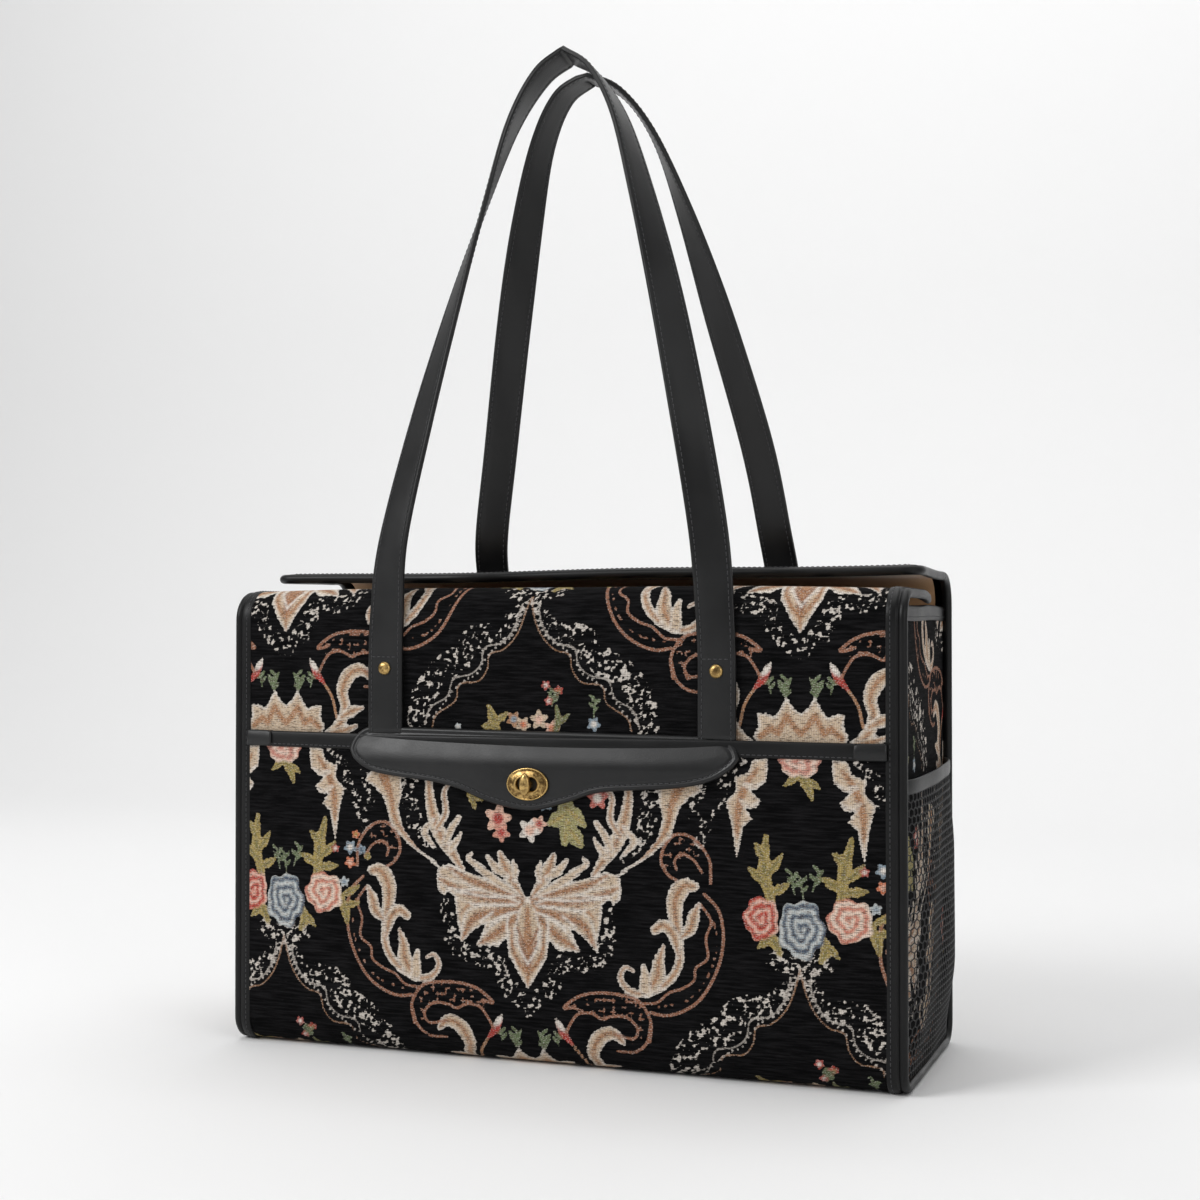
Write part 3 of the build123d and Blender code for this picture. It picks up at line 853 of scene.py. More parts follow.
def crown():
    for x, z, side in ((-10, -87, 1), (-17, -86, -1), (-8, -90, -1)):
        twig(x, z, side)
    half = [
        (0, -97), (-4, -94), (-8, -88), (-12, -95), (-15, -99), (-20, -97), (-25, -97), (-24, -104),
        (-27, -110), (-24, -116), (-12, -117), (0, -118),
    ]
    patch(half + [(-x, z) for x, z in half[-2:0:-1]], mirrored=False, rim=1.1)
    zigzag = [(-23, -110), (-17, -105), (-13, -108), (-8, -98), (-4, -104), (0, -108)]
    for a, b in zip(zigzag, zigzag[1:]):
        line([a, ((a[0] + b[0]) / 2, (a[1] + b[1]) / 2), b], 1.7, TAN)
    leaf(
        [(-27, -117), (-37, -109), (-41, -98), (-39, -88), (-44, -78), (-52, -75), (-58, -80)],
        [2.6, 3.9, 3.2, 3.5, 4.7, 4.3, 1.6],
    )
    leaf([(-38, -104), (-46, -100), (-53, -98)], [1.8, 3.6, 1.0])
    leaf([(-30, -114), (-40, -112), (-49, -109)], [1.8, 3.2, 1.0])
    line([(-35, -104), (-32, -92), (-26, -83), (-22, -79)], 0.8, TAN)
    leaf([(-26, -83), (-21, -77), (-18, -72)], [0.8, 2.4, 1.6], RED, RED, None)
    leaf([(-21, -75), (-18, -71), (-17, -69)], [1.2, 1.9, 0.6], WHITE, WHITE, None)
    side = [(-18, -122), (-27, -123), (
        -29, -130
    ), (-37, -133), (-36, -140), (-42, -147), (-39, -158), (-36, -178), (-32, -160), (-27, -156),
            (-31, -150), (-22, -146), (-28, -140), (-19, -135)]
    patch(side, rim=0.8)
    leaf([(-24, -128), (-31, -138), (-35, -150), (-36, -166)], [1.0, 2.2, 2.2, 0.8], TAN, TAN, None)
    leaf([(-33, -146), (-27, -149), (-23, -147)], [1.4, 1.2, 0.5], vein=None)
    leaf([(-31, -137), (-25, -138), (-21, -135)], [1.4, 1.4, 0.5], vein=None)
    sprig([(-2, -128), (4, -136), (7, -144)], [(0, -130, -9, -137), (3, -133, 11, -138)], mirrored=False)
    rose(0, -124, 11.5, 8, PINK, linear(196, 130, 116), mirrored=False, turns=1.6)
    vermicelli([(-30, -120), (-40, -130), (-46, -146), (-53, -158), (-57, -170)], [3, 4, 4, 4, 4])


def bouquets():
    vermicelli([(-176, -27), (-162, -30), (-148, -27)], [6, 7, 6], mirrored=False)
    sprig(
        [(-178, 6), (-182, 22), (-181, 42)],
        [(-180, 14, -191, 24), (-181, 20, -172, 32), (-182, 28, -187, 38), (-179, 10, -168, 16)], size=2.6,
    )
    sprig(
        [(-139, 8), (-137, 24), (-133, 42)],
        [(-139, 14, -150, 20), (-137, 18, -126, 28), (-136, 26, -143, 34), (-138, 12, -124, 14)], size=2.6,
    )
    sprig([(-150, -12), (-147, -19), (-150, -26)], [(-148, -16, -140, -24)], size=2.2)
    sprig([(-122, -6), (-119, -13), (-118, -20)], [(-120, -10, -110, -8), (-121, -4, -110, 2)], size=2.2)
    sprig([(-181, -10), (-176, -17), (-173, -23)], [(-178, -14, -186, -20)], size=2.2)
    for x, z in ((-160, 8), (-155, 12), (-165, 10)):
        twig(x, z, 2 if x > -160 else -1, 12, mirrored=False)
    rose(-184, -4, 10, 12, linear(224, 142, 114), linear(176, 48, 44))
    rose(-134, -3, 12.5, 12, linear(240, 206, 182), linear(202, 122, 102))
    rose(-161, -9, 13, 16, linear(168, 184, 190), linear(58, 76, 96), turns=2.9)
    for x, z, size, light, heart in (
        (
            -126, 24, 3, RED, WHITE
        ), (-116, 25, 4.6, BLUE, WHITE), (-108, 24, 3.4, BLUE, DARK_BLUE), (-116, 16, 4, ORANGE, PINK),
        (
            -120, 4, 3.6, linear(190, 198, 200), BLUE
        ), (-112, 33, 3, ORANGE, GOLD), (-104, 20, 2.6, GOLD, OLIVE),
        (-18, 46, 9, PINK, RED), (
            -16, 38, 6, linear(214, 150, 130), RED
        ), (2, 40, 7.5, WHITE * 0.95, PINK), (8, 44, 5, PINK, RED), (12, 56, 5, BLUE, WHITE),
        (44, 60, 7, linear(190, 100, 90), WHITE), (-10, 104, 5, TAN, BLUE), (-4, 101, 5, CREAM, ORANGE), (
            6, 104, 6, CREAM, PINK
        ), (14, 99, 5, PINK, ORANGE), (-46, 99, 2.5, linear(190, 198, 200), WHITE),
        (
            40, 102, 4.5, BLUE, WHITE
        ), (10, 124, 3.2, RED, WHITE), (18, 121, 3.2, RED, ORANGE), (12, 115, 3, RED, WHITE),
    ):
        blossom(x, z, size, light, heart)
    sprig(
        [(23, 60), (26, 48), (24, 34)], [(24, 54, 36, 44), (24, 50, 14, 44), (26, 42, 34, 32)],
        linear(160, 156, 106), GOLD, size=4.2,
    )
    sprig([(-34, 68), (-35, 60), (-33, 52)], [(-35, 62, -46, 66), (-34, 60, -28, 56)])
    sprig([(-20, 96), (-23, 104), (-26, 112)], [(-22, 102, -14, 108), (-22, 100, -30, 100)], size=2.2)
    sprig([(16, 96), (18, 104), (17, 112)], [(18, 102, 25, 108)], OLIVE, GREEN, size=1.6)
    twig(14, 112, 1, 8, mirrored=False)
    twig(40, 106, 0.5, 10, mirrored=False)


lace()
crown()
scrolls()
side_leaves()
palmette()
bouquets()


def blurred(field):
    weights = {-1: 0.22, 0: 0.56, 1: 0.22}
    return sum(
        np.roll(field, (dz, dx), (0, 1)) * weights[dz] * weights[dx]
        for dz in weights
        for dx in weights
    )


COVER = blurred(cover)
YARN = np.stack([blurred(yarn[..., k] * cover) for k in range(3)], -1) / np.maximum(COVER, 1e-4)[..., None]


def woven(u, v):
    """Colour and coverage of the pattern at distances across and up the cloth."""
    x, z = (np.asarray(u, float) - MOTIF_X) / FINE, (np.asarray(v, float) - MOTIF_Z) / FINE
    c, r = np.floor(x).astype(int), np.floor(z).astype(int)
    fx, fz = x - c, z - r
    picture = np.concatenate([YARN, COVER[..., None]], -1)
    total = 0
    for dr, wr in ((0, 1 - fz), (1, fz)):
        for dc, wc in ((0, 1 - fx), (1, fx)):
            total = total + picture[(r + dr) % ROWS, (c + dc) % COLUMNS] * (wr * wc)[..., None]
    return total


# ---------------------------------------------------------------- tapestry


def cloth_grid(name, u, v, place, stands_for):
    """A panel of tapestry. place(u, v) gives its points. u and v are distances on the cloth."""
    across, up = np.meshgrid(u, v)
    verts = place(across, up).reshape(-1, 3)
    uv = np.stack([across.ravel(), up.ravel()], -1)
    faces = grid_faces(len(v), len(u))
    return add_piece(
        name, verts, faces, "bag", TAPESTRY, stands_for, uv, woven(uv[:, 0], uv[:, 1])
    )


def steps(low, high, size):
    return np.linspace(low, high, int(round(abs(high - low) / size)) + 1)


SEAM_X = GUSSET_X - 4.2  # the cloth's edge, under the leather strip
SHELF_V = FRONT_ZERO
BASE_V = -64.0  # the cloth's cross seam, under the base
BACK_V = FRONT_ZERO - STRIP

POCKET_LOW, POCKET_HIGH = 14.0, BINDING_HIGH[2] - 1.5


def wrap_cloth(name, low, high, across, along):
    panel = cloth_grid(
        name, steps(-SEAM_X, SEAM_X, across), steps(low, high, along), lambda u,
        v: strip_surface(u, FRONT_ZERO - v), ("body_wrap",),
    )
    return panel


wrap_cloth("tapestry_front", POCKET_HIGH - 12, SHELF_V, 0.92, 0.78)
lower_front = wrap_cloth("tapestry_front_low", BASE_V, POCKET_HIGH - 12, 1.7, 1.6)
wrap_cloth("tapestry_back", BACK_V, BASE_V, 2.1, 1.9)


POCKET_X = SEAM_X - 0.5


def pocket_stand(x, z):
    """How far the pocket's cloth stands off the front panel."""
    edge = 1 - (np.abs(x) / (POCKET_X + 1)) ** 14
    foot = smooth(POCKET_LOW - 4, 34, z)
    belly = smooth(60, 150, z) * smooth(170, 60, np.abs(x)) * 2.2
    return 0.35 + np.clip(edge, 0, 1) * foot * (POCKET_LIFT + belly)


def pocket_surface(x, z):
    return strip_surface(x, FRONT_ZERO - z, pocket_stand(x, z))


pocket = cloth_grid(
    "tapestry_pocket", steps(-POCKET_X, POCKET_X, 0.92), steps(POCKET_LOW, POCKET_HIGH, 0.84),
    pocket_surface, ("front_pocket",),
)


def end_span(z):
    """The front and back edges of an end panel at a height."""
    low = -HALF_DEPTH + 1.2
    high = HALF_DEPTH - 1.2
    base = np.clip(BASE_RADIUS - z, 0, BASE_RADIUS)
    rise = BASE_RADIUS - np.sqrt(np.maximum(BASE_RADIUS**2 - base**2, 0))
    shoulder = np.clip(z - (SHELF_Z - SHOULDER_RADIUS), 0, SHOULDER_RADIUS)
    fall = SHOULDER_RADIUS - np.sqrt(np.maximum(SHOULDER_RADIUS**2 - shoulder**2, 0))
    return low + rise + fall, high - rise


def end_panel(side):
    name = "right" if side > 0 else "left"
    rows = steps(1.6, GUSSET_HIGH[2] - 1.5, 1.5)
    share = steps(0, 1, 1 / 96)
    t, z = np.meshgrid(share, rows)
    low, high = end_span(z)
    y = low + t * (high - low)
    hollow = np.sin(pi * np.clip((y + 72) / 144, 0, 1)) * np.sin(pi * z / 270)
    x = side * (GUSSET_X + 0.15 + 0.9 * hollow + 0.5 * ripple(y * 2, z, 8 + side) * hollow)
    verts = np.stack([x, y, z], -1).reshape(-1, 3)
    u, v = side * y + 58, z + 22
    uv = np.stack([u.ravel(), v.ravel()], -1)
    panel = add_piece(
        f"tapestry_end_{name}", verts, grid_faces(len(rows), len(share)), "bag", TAPESTRY,
        (f"{name}_gusset",), uv, woven(uv[:, 0], uv[:, 1]),
    )


def lid_top():
    reach_x, front_y = LID_HIGH[0] - 4.5, LID_LOW[1] + 4.5
    u, v = np.meshgrid(steps(-reach_x, reach_x, 1.5), steps(front_y, HINGE_Y - 0.6, 1.5))
    verts = np.stack([u, v, lid_height(u, v) + 0.2], -1).reshape(-1, 3)
    cloth_v = v + 13 + FRONT_ZERO
    uv = np.stack([u.ravel(), cloth_v.ravel()], -1)
    top = add_piece(
        "tapestry_lid", verts, grid_faces(*u.shape), "lid", TAPESTRY, ("lid_panel",), uv,
        woven(uv[:, 0], uv[:, 1]),
    )


def lid_height(x, y):
    """The lid's top, which rises a little to the right and waves along its front edge."""
    edge = smooth(HINGE_Y - 10, LID_LOW[1] + 5, y)
    return TOP + edge * (
        0.4 + 1.5 * np.asarray(x, float) / HALF_WIDTH + 0.6 * np.sin(np.asarray(x, float) / 38.0 + 0.6)
    )


for side in (-1, 1):
    end_panel(side)
lid_top()


# ---------------------------------------------------------------- leather edges


def bead_section(strip, flange_top=0.6, radius=2.75):
    """A cord bead and the flat strip beside it. Its directions: along X, and out of the cloth."""
    points = [(-strip, -1.0), (-strip, 0.1), (-strip + 0.25, flange_top * 0.8), (-strip + 0.7, flange_top)]
    points += [(-strip * 0.5, flange_top + 0.1), (-1.0, flange_top), (-0.1, 0.15)]
    for k in range(15):
        a = radians(150 - k * 20)
        points.append((2.75 + radius * cos(a), -2.75 + radius * sin(a)))
    points += [(0.0, -4.6), (0.0, -1.3)]
    return points


EDGE_STITCH = (3.2, 2.1, 0.22)  # pitch, length and radius


def edge_piping(side):
    name = "right" if side > 0 else "left"
    tail = np.linspace(-31, 0, 22)[:-1]
    s = np.concatenate([tail, np.arange(0, STRIP, 2.0), [STRIP]])
    y, z, ny, nz = at_length(np.clip(s, 0, STRIP))
    out = np.stack([0 * y, ny, nz], -1)
    out[:26] = (0, 0, 1)
    centres = np.stack([np.full(len(s), side * GUSSET_X), y, z], -1)
    centres[: len(tail), 1] = MOUTH_Y - tail
    centres[: len(tail), 2] = SHELF_Z - 4.0 * smooth(0, -31, tail)
    sag = 0.35 * ripple(s, s * 0.3, 40 + side)
    centres += out * sag[:, None]
    section = np.array(bead_section(FLANGE))
    size = np.ones(len(s))
    size[: len(tail)] = np.sqrt(np.clip((tail + 31.5) / 18, 0.02, 1))
    sections = np.repeat(section[None], len(s), 0)
    sections = sections * size[:, None, None] + np.array([0, -2.75])[None, None] * (1 - size[:, None, None])
    across = same((side, 0, 0), len(s))
    verts, faces = sweep(centres, across, out, sections)
    add_piece(f"piping_{name}", verts, faces, "bag", SHADED_TRIM_LEATHER, (f"{name}_piping",))
    keep = slice(len(tail), None)
    path = centres[keep] - np.array([side * (FLANGE - 2.6), 0, 0]) + out[keep] * 0.72
    verts, faces = stitches(path, out[keep], 3.2, 2.0, 0.22)
    add_piece(f"piping_stitches_{name}", verts, faces, "bag", THREAD)


def end_binding(side):
    name = "right" if side > 0 else "left"
    y = steps(BAND_LOW[1], BAND_HIGH[1], 3.0)
    x0 = side * (GUSSET_X - 1.1)
    top = BAND_HIGH[2]
    wave = 0.35 * np.sin(y / 17.0)
    centres = np.stack([np.full(len(y), x0), y, top - 2.0 + wave], -1)
    section = [(1.9, -7.0), (2.15, -6.8), (2.3, -4.0), (2.4, 0.2), (2.0, 1.3), (1.2, 1.95), (0, 2.1)]
    section += [(-a, b) for a, b in section[::-1][1:]]
    across = same((side, 0, 0), len(y))
    up = same((0, 0, 1.0), len(y))
    verts, faces = sweep(centres, across, up, section)
    add_piece(
        f"end_binding_{name}", verts, faces, "bag", SHADED_TRIM_LEATHER, (f"{name}_gusset_band",)
    )
    path = centres + np.array([side * 2.38, 0, -4.6])
    verts, faces = stitches(path, across, *EDGE_STITCH)
    add_piece(f"end_binding_stitches_{name}", verts, faces, "bag", THREAD)


def lid_edge():
    """The bead round the lid's front and ends, with the leather strip on top beside it."""
    half, front_y, radius = LID_HIGH[0] - 2.75, LID_LOW[1] + 2.75, 9.3
    back_y = HINGE_Y - 0.7
    left = [(-half, y) for y in np.linspace(back_y, front_y + radius + 1, 16)]
    corner = [
        (-half + radius - radius * cos(a), front_y + radius - radius * sin(a))
        for a in np.linspace(0.0, pi / 2, 12)
    ]
    run = [(x, front_y) for x in np.linspace(-half + radius + 3, half - radius - 3, 110)]
    mirror = [(-x, y) for x, y in (left + corner)[::-1]]
    path = np.array(left + corner + run + mirror)
    x, y = path[:, 0], path[:, 1]
    tangent = headings(path)
    outward = np.stack([tangent[:, 1], -tangent[:, 0], 0 * x], -1)
    if outward[len(left) + 60, 1] > 0:
        outward = -outward
    z = lid_height(x, y)
    centres = np.stack([x, y, z - 2.75], -1) - outward * 2.75
    up = same((0, 0, 1.0), len(x))
    section = np.array(bead_section(7.0, 0.5, 2.8)) + np.array([0, 2.75])
    verts, faces = sweep(centres, outward, up, section)
    add_piece("lid_bead", verts, faces, "lid", SHADED_TRIM_LEATHER, ("lid_piping",))
    verts, faces = stitches(centres + up * 3.42 - outward * 4.6, up, *EDGE_STITCH)
    add_piece("lid_stitches", verts, faces, "lid", THREAD)


for side in (-1, 1):
    edge_piping(side)
    end_binding(side)
lid_edge()


# ---------------------------------------------------------------- linings


LINING_DEPTH = 3.2  # from the face of the cloth to the suede


def linings():
    half = GUSSET_X - 4.6
    s = np.linspace(0, STRIP, 240)
    y, z, ny, nz = at_length(s)
    inner_y, inner_z = y - ny * LINING_DEPTH, z - nz * LINING_DEPTH
    x = np.linspace(-half, half, 40)
    gx, gy = np.meshgrid(x, inner_y)
    gz = np.repeat(inner_z[:, None], len(x), 1)
    wave = 0.5 * ripple(gx * 1.5, np.repeat(s[:, None], len(x), 1), 21)
    shell = (
        np.stack([gx, gy + ny[:, None] * wave, gz + nz[:, None] * wave], -1).reshape(-1, 3),
        grid_faces(len(s), len(x)),
    )
    parts = [shell]
    for side in (-1, 1):
        rows = np.linspace(4.0, GUSSET_HIGH[2] - 1.6, 60)
        t, zz = np.meshgrid(np.linspace(0, 1, 30), rows)
        low, high = end_span(zz)
        yy = low + 2 + t * (high - low - 4)
        xx = side * (half + 0.2 - 0.6 * np.sin(pi * t) * np.sin(pi * zz / 270))
        parts.append((np.stack([xx, yy, zz], -1).reshape(-1, 3), grid_faces(*t.shape)))
    verts, faces = joined(parts)
    add_piece("lining_body", verts, faces, "bag", SUEDE, ("body_lining",))
    x = np.linspace(-half - 3, half + 3, 120)
    centres = np.stack([x, np.full(len(x), MOUTH_Y), np.full(len(x), SHELF_Z - 1.5)], -1)
    fold = [(-1.2, -1.5), (0.3, -1.4), (0.9, -0.6), (0.9, 0.6), (0.3, 1.3), (-1.2, 1.45)]
    along, up = same((0, 1.0, 0), len(x)), same((0, 0, 1.0), len(x))
    verts, faces = sweep(centres, along, up, fold)
    add_piece("mouth_fold", verts, faces, "bag", SUEDE)
    reach_x, front_y = LID_HIGH[0] - 5.0, LID_LOW[1] + 5.0
    gx, gy = np.meshgrid(np.linspace(-reach_x, reach_x, 140), np.linspace(front_y, HINGE_Y - 0.8, 30))
    under = lid_height(gx, gy) - 3.3 + 0.25 * ripple(gx * 2, gy * 2, 31)
    add_piece(
        "lining_lid", np.stack([gx, gy, under], -1).reshape(-1, 3), grid_faces(*gx.shape), "lid", SUEDE,
        ("lid_lining",),
    )


linings()


# ---------------------------------------------------------------- front pocket's binding


def pocket_edge():
    """Leather folded over the pocket's top, with its overlapping ends and a row of stitches."""
    reach = POCKET_X - 0.5
    x = steps(-reach, reach, 2.5)
    top = BINDING_HIGH[2] + 0.5 * np.sin(x / 60.0)
    middle = pocket_surface(x, np.full(len(x), BINDING_HIGH[2] - 4.0))
    centres = np.stack([x, middle[:, 1], top - 4.6], -1)
    out = same((0, -1.0, 0), len(x))
    up = same((0, 0, 1.0), len(x))
    section = [
        (-4.9, -0.8), (-4.9, 0.5), (-4.6, 0.95), (-3.0, 1.25), (0, 1.3), (3.4, 1.25), (4.4, 0.8),
        (4.7, 0.0), (4.4, -0.9), (3.4, -1.1),
    ]
    verts, faces = sweep(centres, up, out, section)
    add_piece("pocket_edge", verts, faces, "bag", SHADED_TRIM_LEATHER, ("pocket_binding",))
    verts, faces = stitches(centres + out * 1.22 - up * 3.2, out, *EDGE_STITCH)
    add_piece("pocket_edge_stitches", verts, faces, "bag", THREAD)
    for side in (-1, 1):
        name = "right" if side > 0 else "left"
        ends = side * np.array([reach, reach - 4, reach - 15.5, reach - 17, reach - 17.9])
        spot = np.stack([
            ends, np.interp(ends * side, side * x[:: side], centres[:: side, 1]),
            np.full(5, BINDING_HIGH[2] - 4.6),
        ], -1)
        spot = spline(spot, 16)
        tab = [(-4.6, 1.0), (-4.6, 1.9), (-4.0, 2.35), (0, 2.5), (4.0, 2.35), (4.9, 1.6), (4.9, 0.6)]
        scale = np.ones(16)
        scale[-3:] = (0.97, 0.9, 0.78)
        sections = np.repeat(np.array(tab)[None], 16, 0) * np.stack([scale, np.ones(16)], -1)[:, None]
        verts, faces = sweep(spot, same((0, 0, 1.0), 16), same((0, -1.0, 0), 16), sections)
        add_piece(
            f"binding_end_{name}", verts, faces, "bag", LEATHER, (f"{name}_binding_tab",)
        )


pocket_edge()


# ---------------------------------------------------------------- pocket flap

FLAP_MIDDLE = (FLAP_LOW[0] + FLAP_HIGH[0]) / 2
FLAP_HALF = (FLAP_HIGH[0] - FLAP_LOW[0]) / 2
FLAP_TOP = FLAP_HIGH[2]
FLAP_ROUND = 14.0
FLAP_BACK_Y = FLAP_LOW[1] + 2.3  # the back of the leather where it lies over the binding
LOCK = np.array([(KNOB_LOW[0] + KNOB_HIGH[0]) / 2, PLATE_LOW[1], (KNOB_LOW[2] + KNOB_HIGH[2]) / 2])


def flap_lower_edge():
    left, right = FLAP_MIDDLE - FLAP_HALF, FLAP_MIDDLE + FLAP_HALF
    shoulder, point, waist = FLAP_TOP - 30, FLAP_LOW[2], FLAP_TOP - FLAP_ROUND
    points = [
        (left, waist), (left + 4, shoulder + 10), (left + 14, shoulder + 4), (left + 30, shoulder + 1),
        (left + 55, shoulder - 1.5),
    ]
    points += [
        (LOCK[0] - 44, point + 11), (LOCK[0] - 25, point + 4), (LOCK[0], point),
        (LOCK[0] + 24, point + 5.5), (LOCK[0] + 42, point + 11.5),
    ]
    points += [
        (right - 62, shoulder - 3), (right - 36, shoulder - 1), (right - 17, shoulder + 3),
        (right - 5, shoulder + 10), (right, waist),
    ]
    return spline(points, 160)


def flap_mesh():
    lower = flap_lower_edge()
    shares = (1 - np.cos(np.linspace(0, pi, 150))) / 2
    x = FLAP_MIDDLE - FLAP_HALF + shares * 2 * FLAP_HALF
    lengths = run_along(lower)
    low = np.stack([np.interp(shares * lengths[-1], lengths, lower[:, k]) for k in (0, 1)], -1)
    corner = np.clip(np.abs(x - FLAP_MIDDLE) - (FLAP_HALF - FLAP_ROUND), 0, FLAP_ROUND)
    high = np.stack(
        [x, FLAP_TOP - FLAP_ROUND + np.sqrt(FLAP_ROUND**2 - corner**2) - 2.2 * (shares - 0.15)], -1
    )
    rim = np.concatenate([low, high[::-1]])
    rows = (1 - np.cos(np.linspace(0, pi, 44))) / 2
    spots = low[None] * (1 - rows[:, None, None]) + high[None] * rows[:, None, None]
    edge = np.full(spots.shape[:2], 1e9)
    for a, b in zip(rim, np.roll(rim, -1, 0)):
        edge = np.minimum(edge, to_segment(spots[..., 0], spots[..., 1], a, b)[0])
    return spots, edge


def flap_back(x, z):
    """The back of the flap, from its seam on the panel out over the pocket's binding."""
    seam = -HALF_DEPTH - 2.6
    return seam - (seam - FLAP_BACK_Y) * smooth(
        FLAP_TOP + 1, FLAP_TOP - 22, z
    ) * (1 - 0.18 * smooth(60, 125, np.abs(x - FLAP_MIDDLE)))



def flap():
    spots, edge = flap_mesh()
    x, z = spots[..., 0], spots[..., 1]
    round_edge = np.sqrt(np.clip(1 - (1 - np.clip(edge / 1.7, 0, 1)) ** 2, 0, 1))
    behind = flap_back(x, z)
    groove = -0.5 * np.exp(-(((edge - 3.4) / 0.8) ** 2))
    puff = 0.35 * smooth(3, 16, edge)
    face = behind - (2.0 * round_edge + puff + groove * smooth(0.4, 2.2, edge))
    rear = behind + 0.3 * round_edge
    front_grid = np.stack([x, face, z], -1).reshape(-1, 3)
    rear_grid = np.stack([x, rear, z], -1).reshape(-1, 3)
    rows, columns = x.shape
    count = rows * columns
    faces = grid_faces(rows, columns) + [f[::-1] for f in grid_faces(rows, columns, offset=count)]
    ring = [(0, c) for c in range(columns)] + [(r, columns - 1) for r in range(1, rows)]
    ring += [(rows - 1, c) for c in range(columns - 2, -1, -1)] + [(r, 0) for r in range(rows - 2, 0, -1)]
    ids = [r * columns + c for r, c in ring]
    for a, b in zip(ids, ids[1:] + ids[:1]):
        faces.append((a, a + count, b + count, b))
    add_piece(
        "flap", np.concatenate([front_grid, rear_grid]), faces, "bag", LEATHER, ("pocket_flap",),
    )
    path = []
    for c in range(2, columns - 2):
        column = edge[: rows // 2, c]
        if column.max() <= 3.5:
            continue
        k = max(1, int(np.argmax(column > 3.4)))
        f = (3.4 - column[k - 1]) / (column[k] - column[k - 1] + 1e-9)
        spot = spots[k - 1, c] + (spots[k, c] - spots[k - 1, c]) * f
        depth = face[k - 1, c] + (face[k, c] - face[k - 1, c]) * f
        path.append((spot[0], depth - 0.22, spot[1]))
    verts, faces = stitches(path, [(0, -1.0, 0)] * len(path), 3.3, 2.3, 0.26)
    add_piece("flap_stitches", verts, faces, "bag", THREAD)


flap()


# ---------------------------------------------------------------- turn lock and rivets


def dome(centre, rings, out=(0, -1, 0), count=48, wide=1.0, high=1.0):
    """A turned shape. rings are (radius, height) from its foot to its top."""
    verts = []
    for radius, rise in rings:
        for k in range(count):
            a = 2 * pi * k / count
            verts.append((
                centre[0] + radius * wide * cos(a), centre[1] + out[1] * rise,
                centre[2] + radius * high * sin(a),
            ))
    faces = grid_faces(len(rings), count, closed_columns=True)
    faces.append(tuple(range((len(rings) - 1) * count, len(rings) * count)))
    faces.append(tuple(range(count))[::-1])
    return np.array(verts), faces


def stadium(angle, long, high):
    """A point of a slot's outline at an angle."""
    flat = long - high
    c, s = cos(angle), sin(angle)
    if abs(s) * flat > high * abs(c):
        return np.array([np.clip(high * c / max(abs(s), 1e-6), -flat, flat), high * np.sign(s)])
    reach = flat * abs(c) + sqrt(max(high**2 - (flat * s) ** 2, 0))
    return np.array([reach * c, reach * s])


SLOT = (6.4, 3.9)  # half the length and height of the plate's slot


def lock():
    """The oval plate with its raised rims, and the turn knob."""
    long, high = (PLATE_HIGH[0] - PLATE_LOW[0]) / 2, (PLATE_HIGH[2] - PLATE_LOW[2]) / 2
    back, rise = PLATE_HIGH[1], PLATE_HIGH[1] - PLATE_LOW[1]
    profile = [(0.0, 0.0), (
        0.0, 0.3
    ), (0.03, 0.52), (0.08, 0.62), (0.14, 0.60), (0.20, 0.44), (0.28, 0.42), (0.42, 0.55), (0.56, 0.68),
               (0.66, 0.72), (
                   0.72, 0.78
               ), (0.78, 0.96), (0.86, 1.0), (0.94, 0.92), (1.0, 0.7), (1.0, 0.1), (1.02, 0.0)]
    count, verts = 72, []
    for share, up in profile:
        for k in range(count):
            a = 2 * pi * k / count
            outer = np.array([long * cos(a), high * sin(a)])
            spot = outer * (1 - share) + stadium(a, *SLOT) * share
            verts.append((LOCK[0] + spot[0], back - rise * up, LOCK[2] + spot[1]))
    add_piece(
        "lock_escutcheon", verts, grid_faces(len(profile), count, closed_columns=True), "bag", BRASS,
        ("lock_plate",),
    )
    foot = KNOB_HIGH[1] - 3.6
    rings = [
        (0.42, 0.0), (0.45, 0.5), (0.62, 0.9), (0.86, 1.3), (0.98, 1.9), (1.0, 2.5), (0.97, 3.2),
        (0.86, 3.9), (0.62, 4.4), (0.3, 4.65),
    ]
    parts = [dome(
        (LOCK[0], foot, LOCK[2]), rings, wide=(KNOB_HIGH[0] - KNOB_LOW[0]) / 2,
        high=(KNOB_HIGH[2] - KNOB_LOW[2]) / 2,
    )]
    parts.append(dome((LOCK[0], KNOB_HIGH[1], LOCK[2]), [(1.45, 0.0), (1.45, 3.7)], count=24))
    verts, faces = joined(parts)
    add_piece("turn_knob", verts, faces, "knob", BRASS, ("lock_knob",))


def rivets():
    rings = [(3.9, 0), (3.95, 0.5), (3.7, 0.95), (3.2, 1.4), (2.5, 1.75), (1.6, 1.98), (0.6, 2.08)]
    for face in (-1, 1):
        for side in (-1, 1):
            name = f"{'front' if face < 0 else 'back'}_{'left' if side < 0 else 'right'}_rivet"
            low, high = span(name)
            place = ((low[0] + high[0]) / 2, face * (STRAP_FACE + 0.1), (low[2] + high[2]) / 2)
            verts, faces = dome(place, rings, (0, face, 0), 32)
            add_piece(f"{name}_head", verts, faces, "bag", BRASS, (name,))


STRAP_X = 103.5  # middle of each leg, from the bag's middle
STRAP_HALF = 11.25
STRAP_GAP = 0.4
STRAP_THICK = 3.0
STRAP_SHIFT = 1.7  # the sewn end lies on the swell of the cloth
STRAP_FACE = HALF_DEPTH + STRAP_GAP + STRAP_THICK + STRAP_SHIFT
rivets()
lock()


# ---------------------------------------------------------------- straps

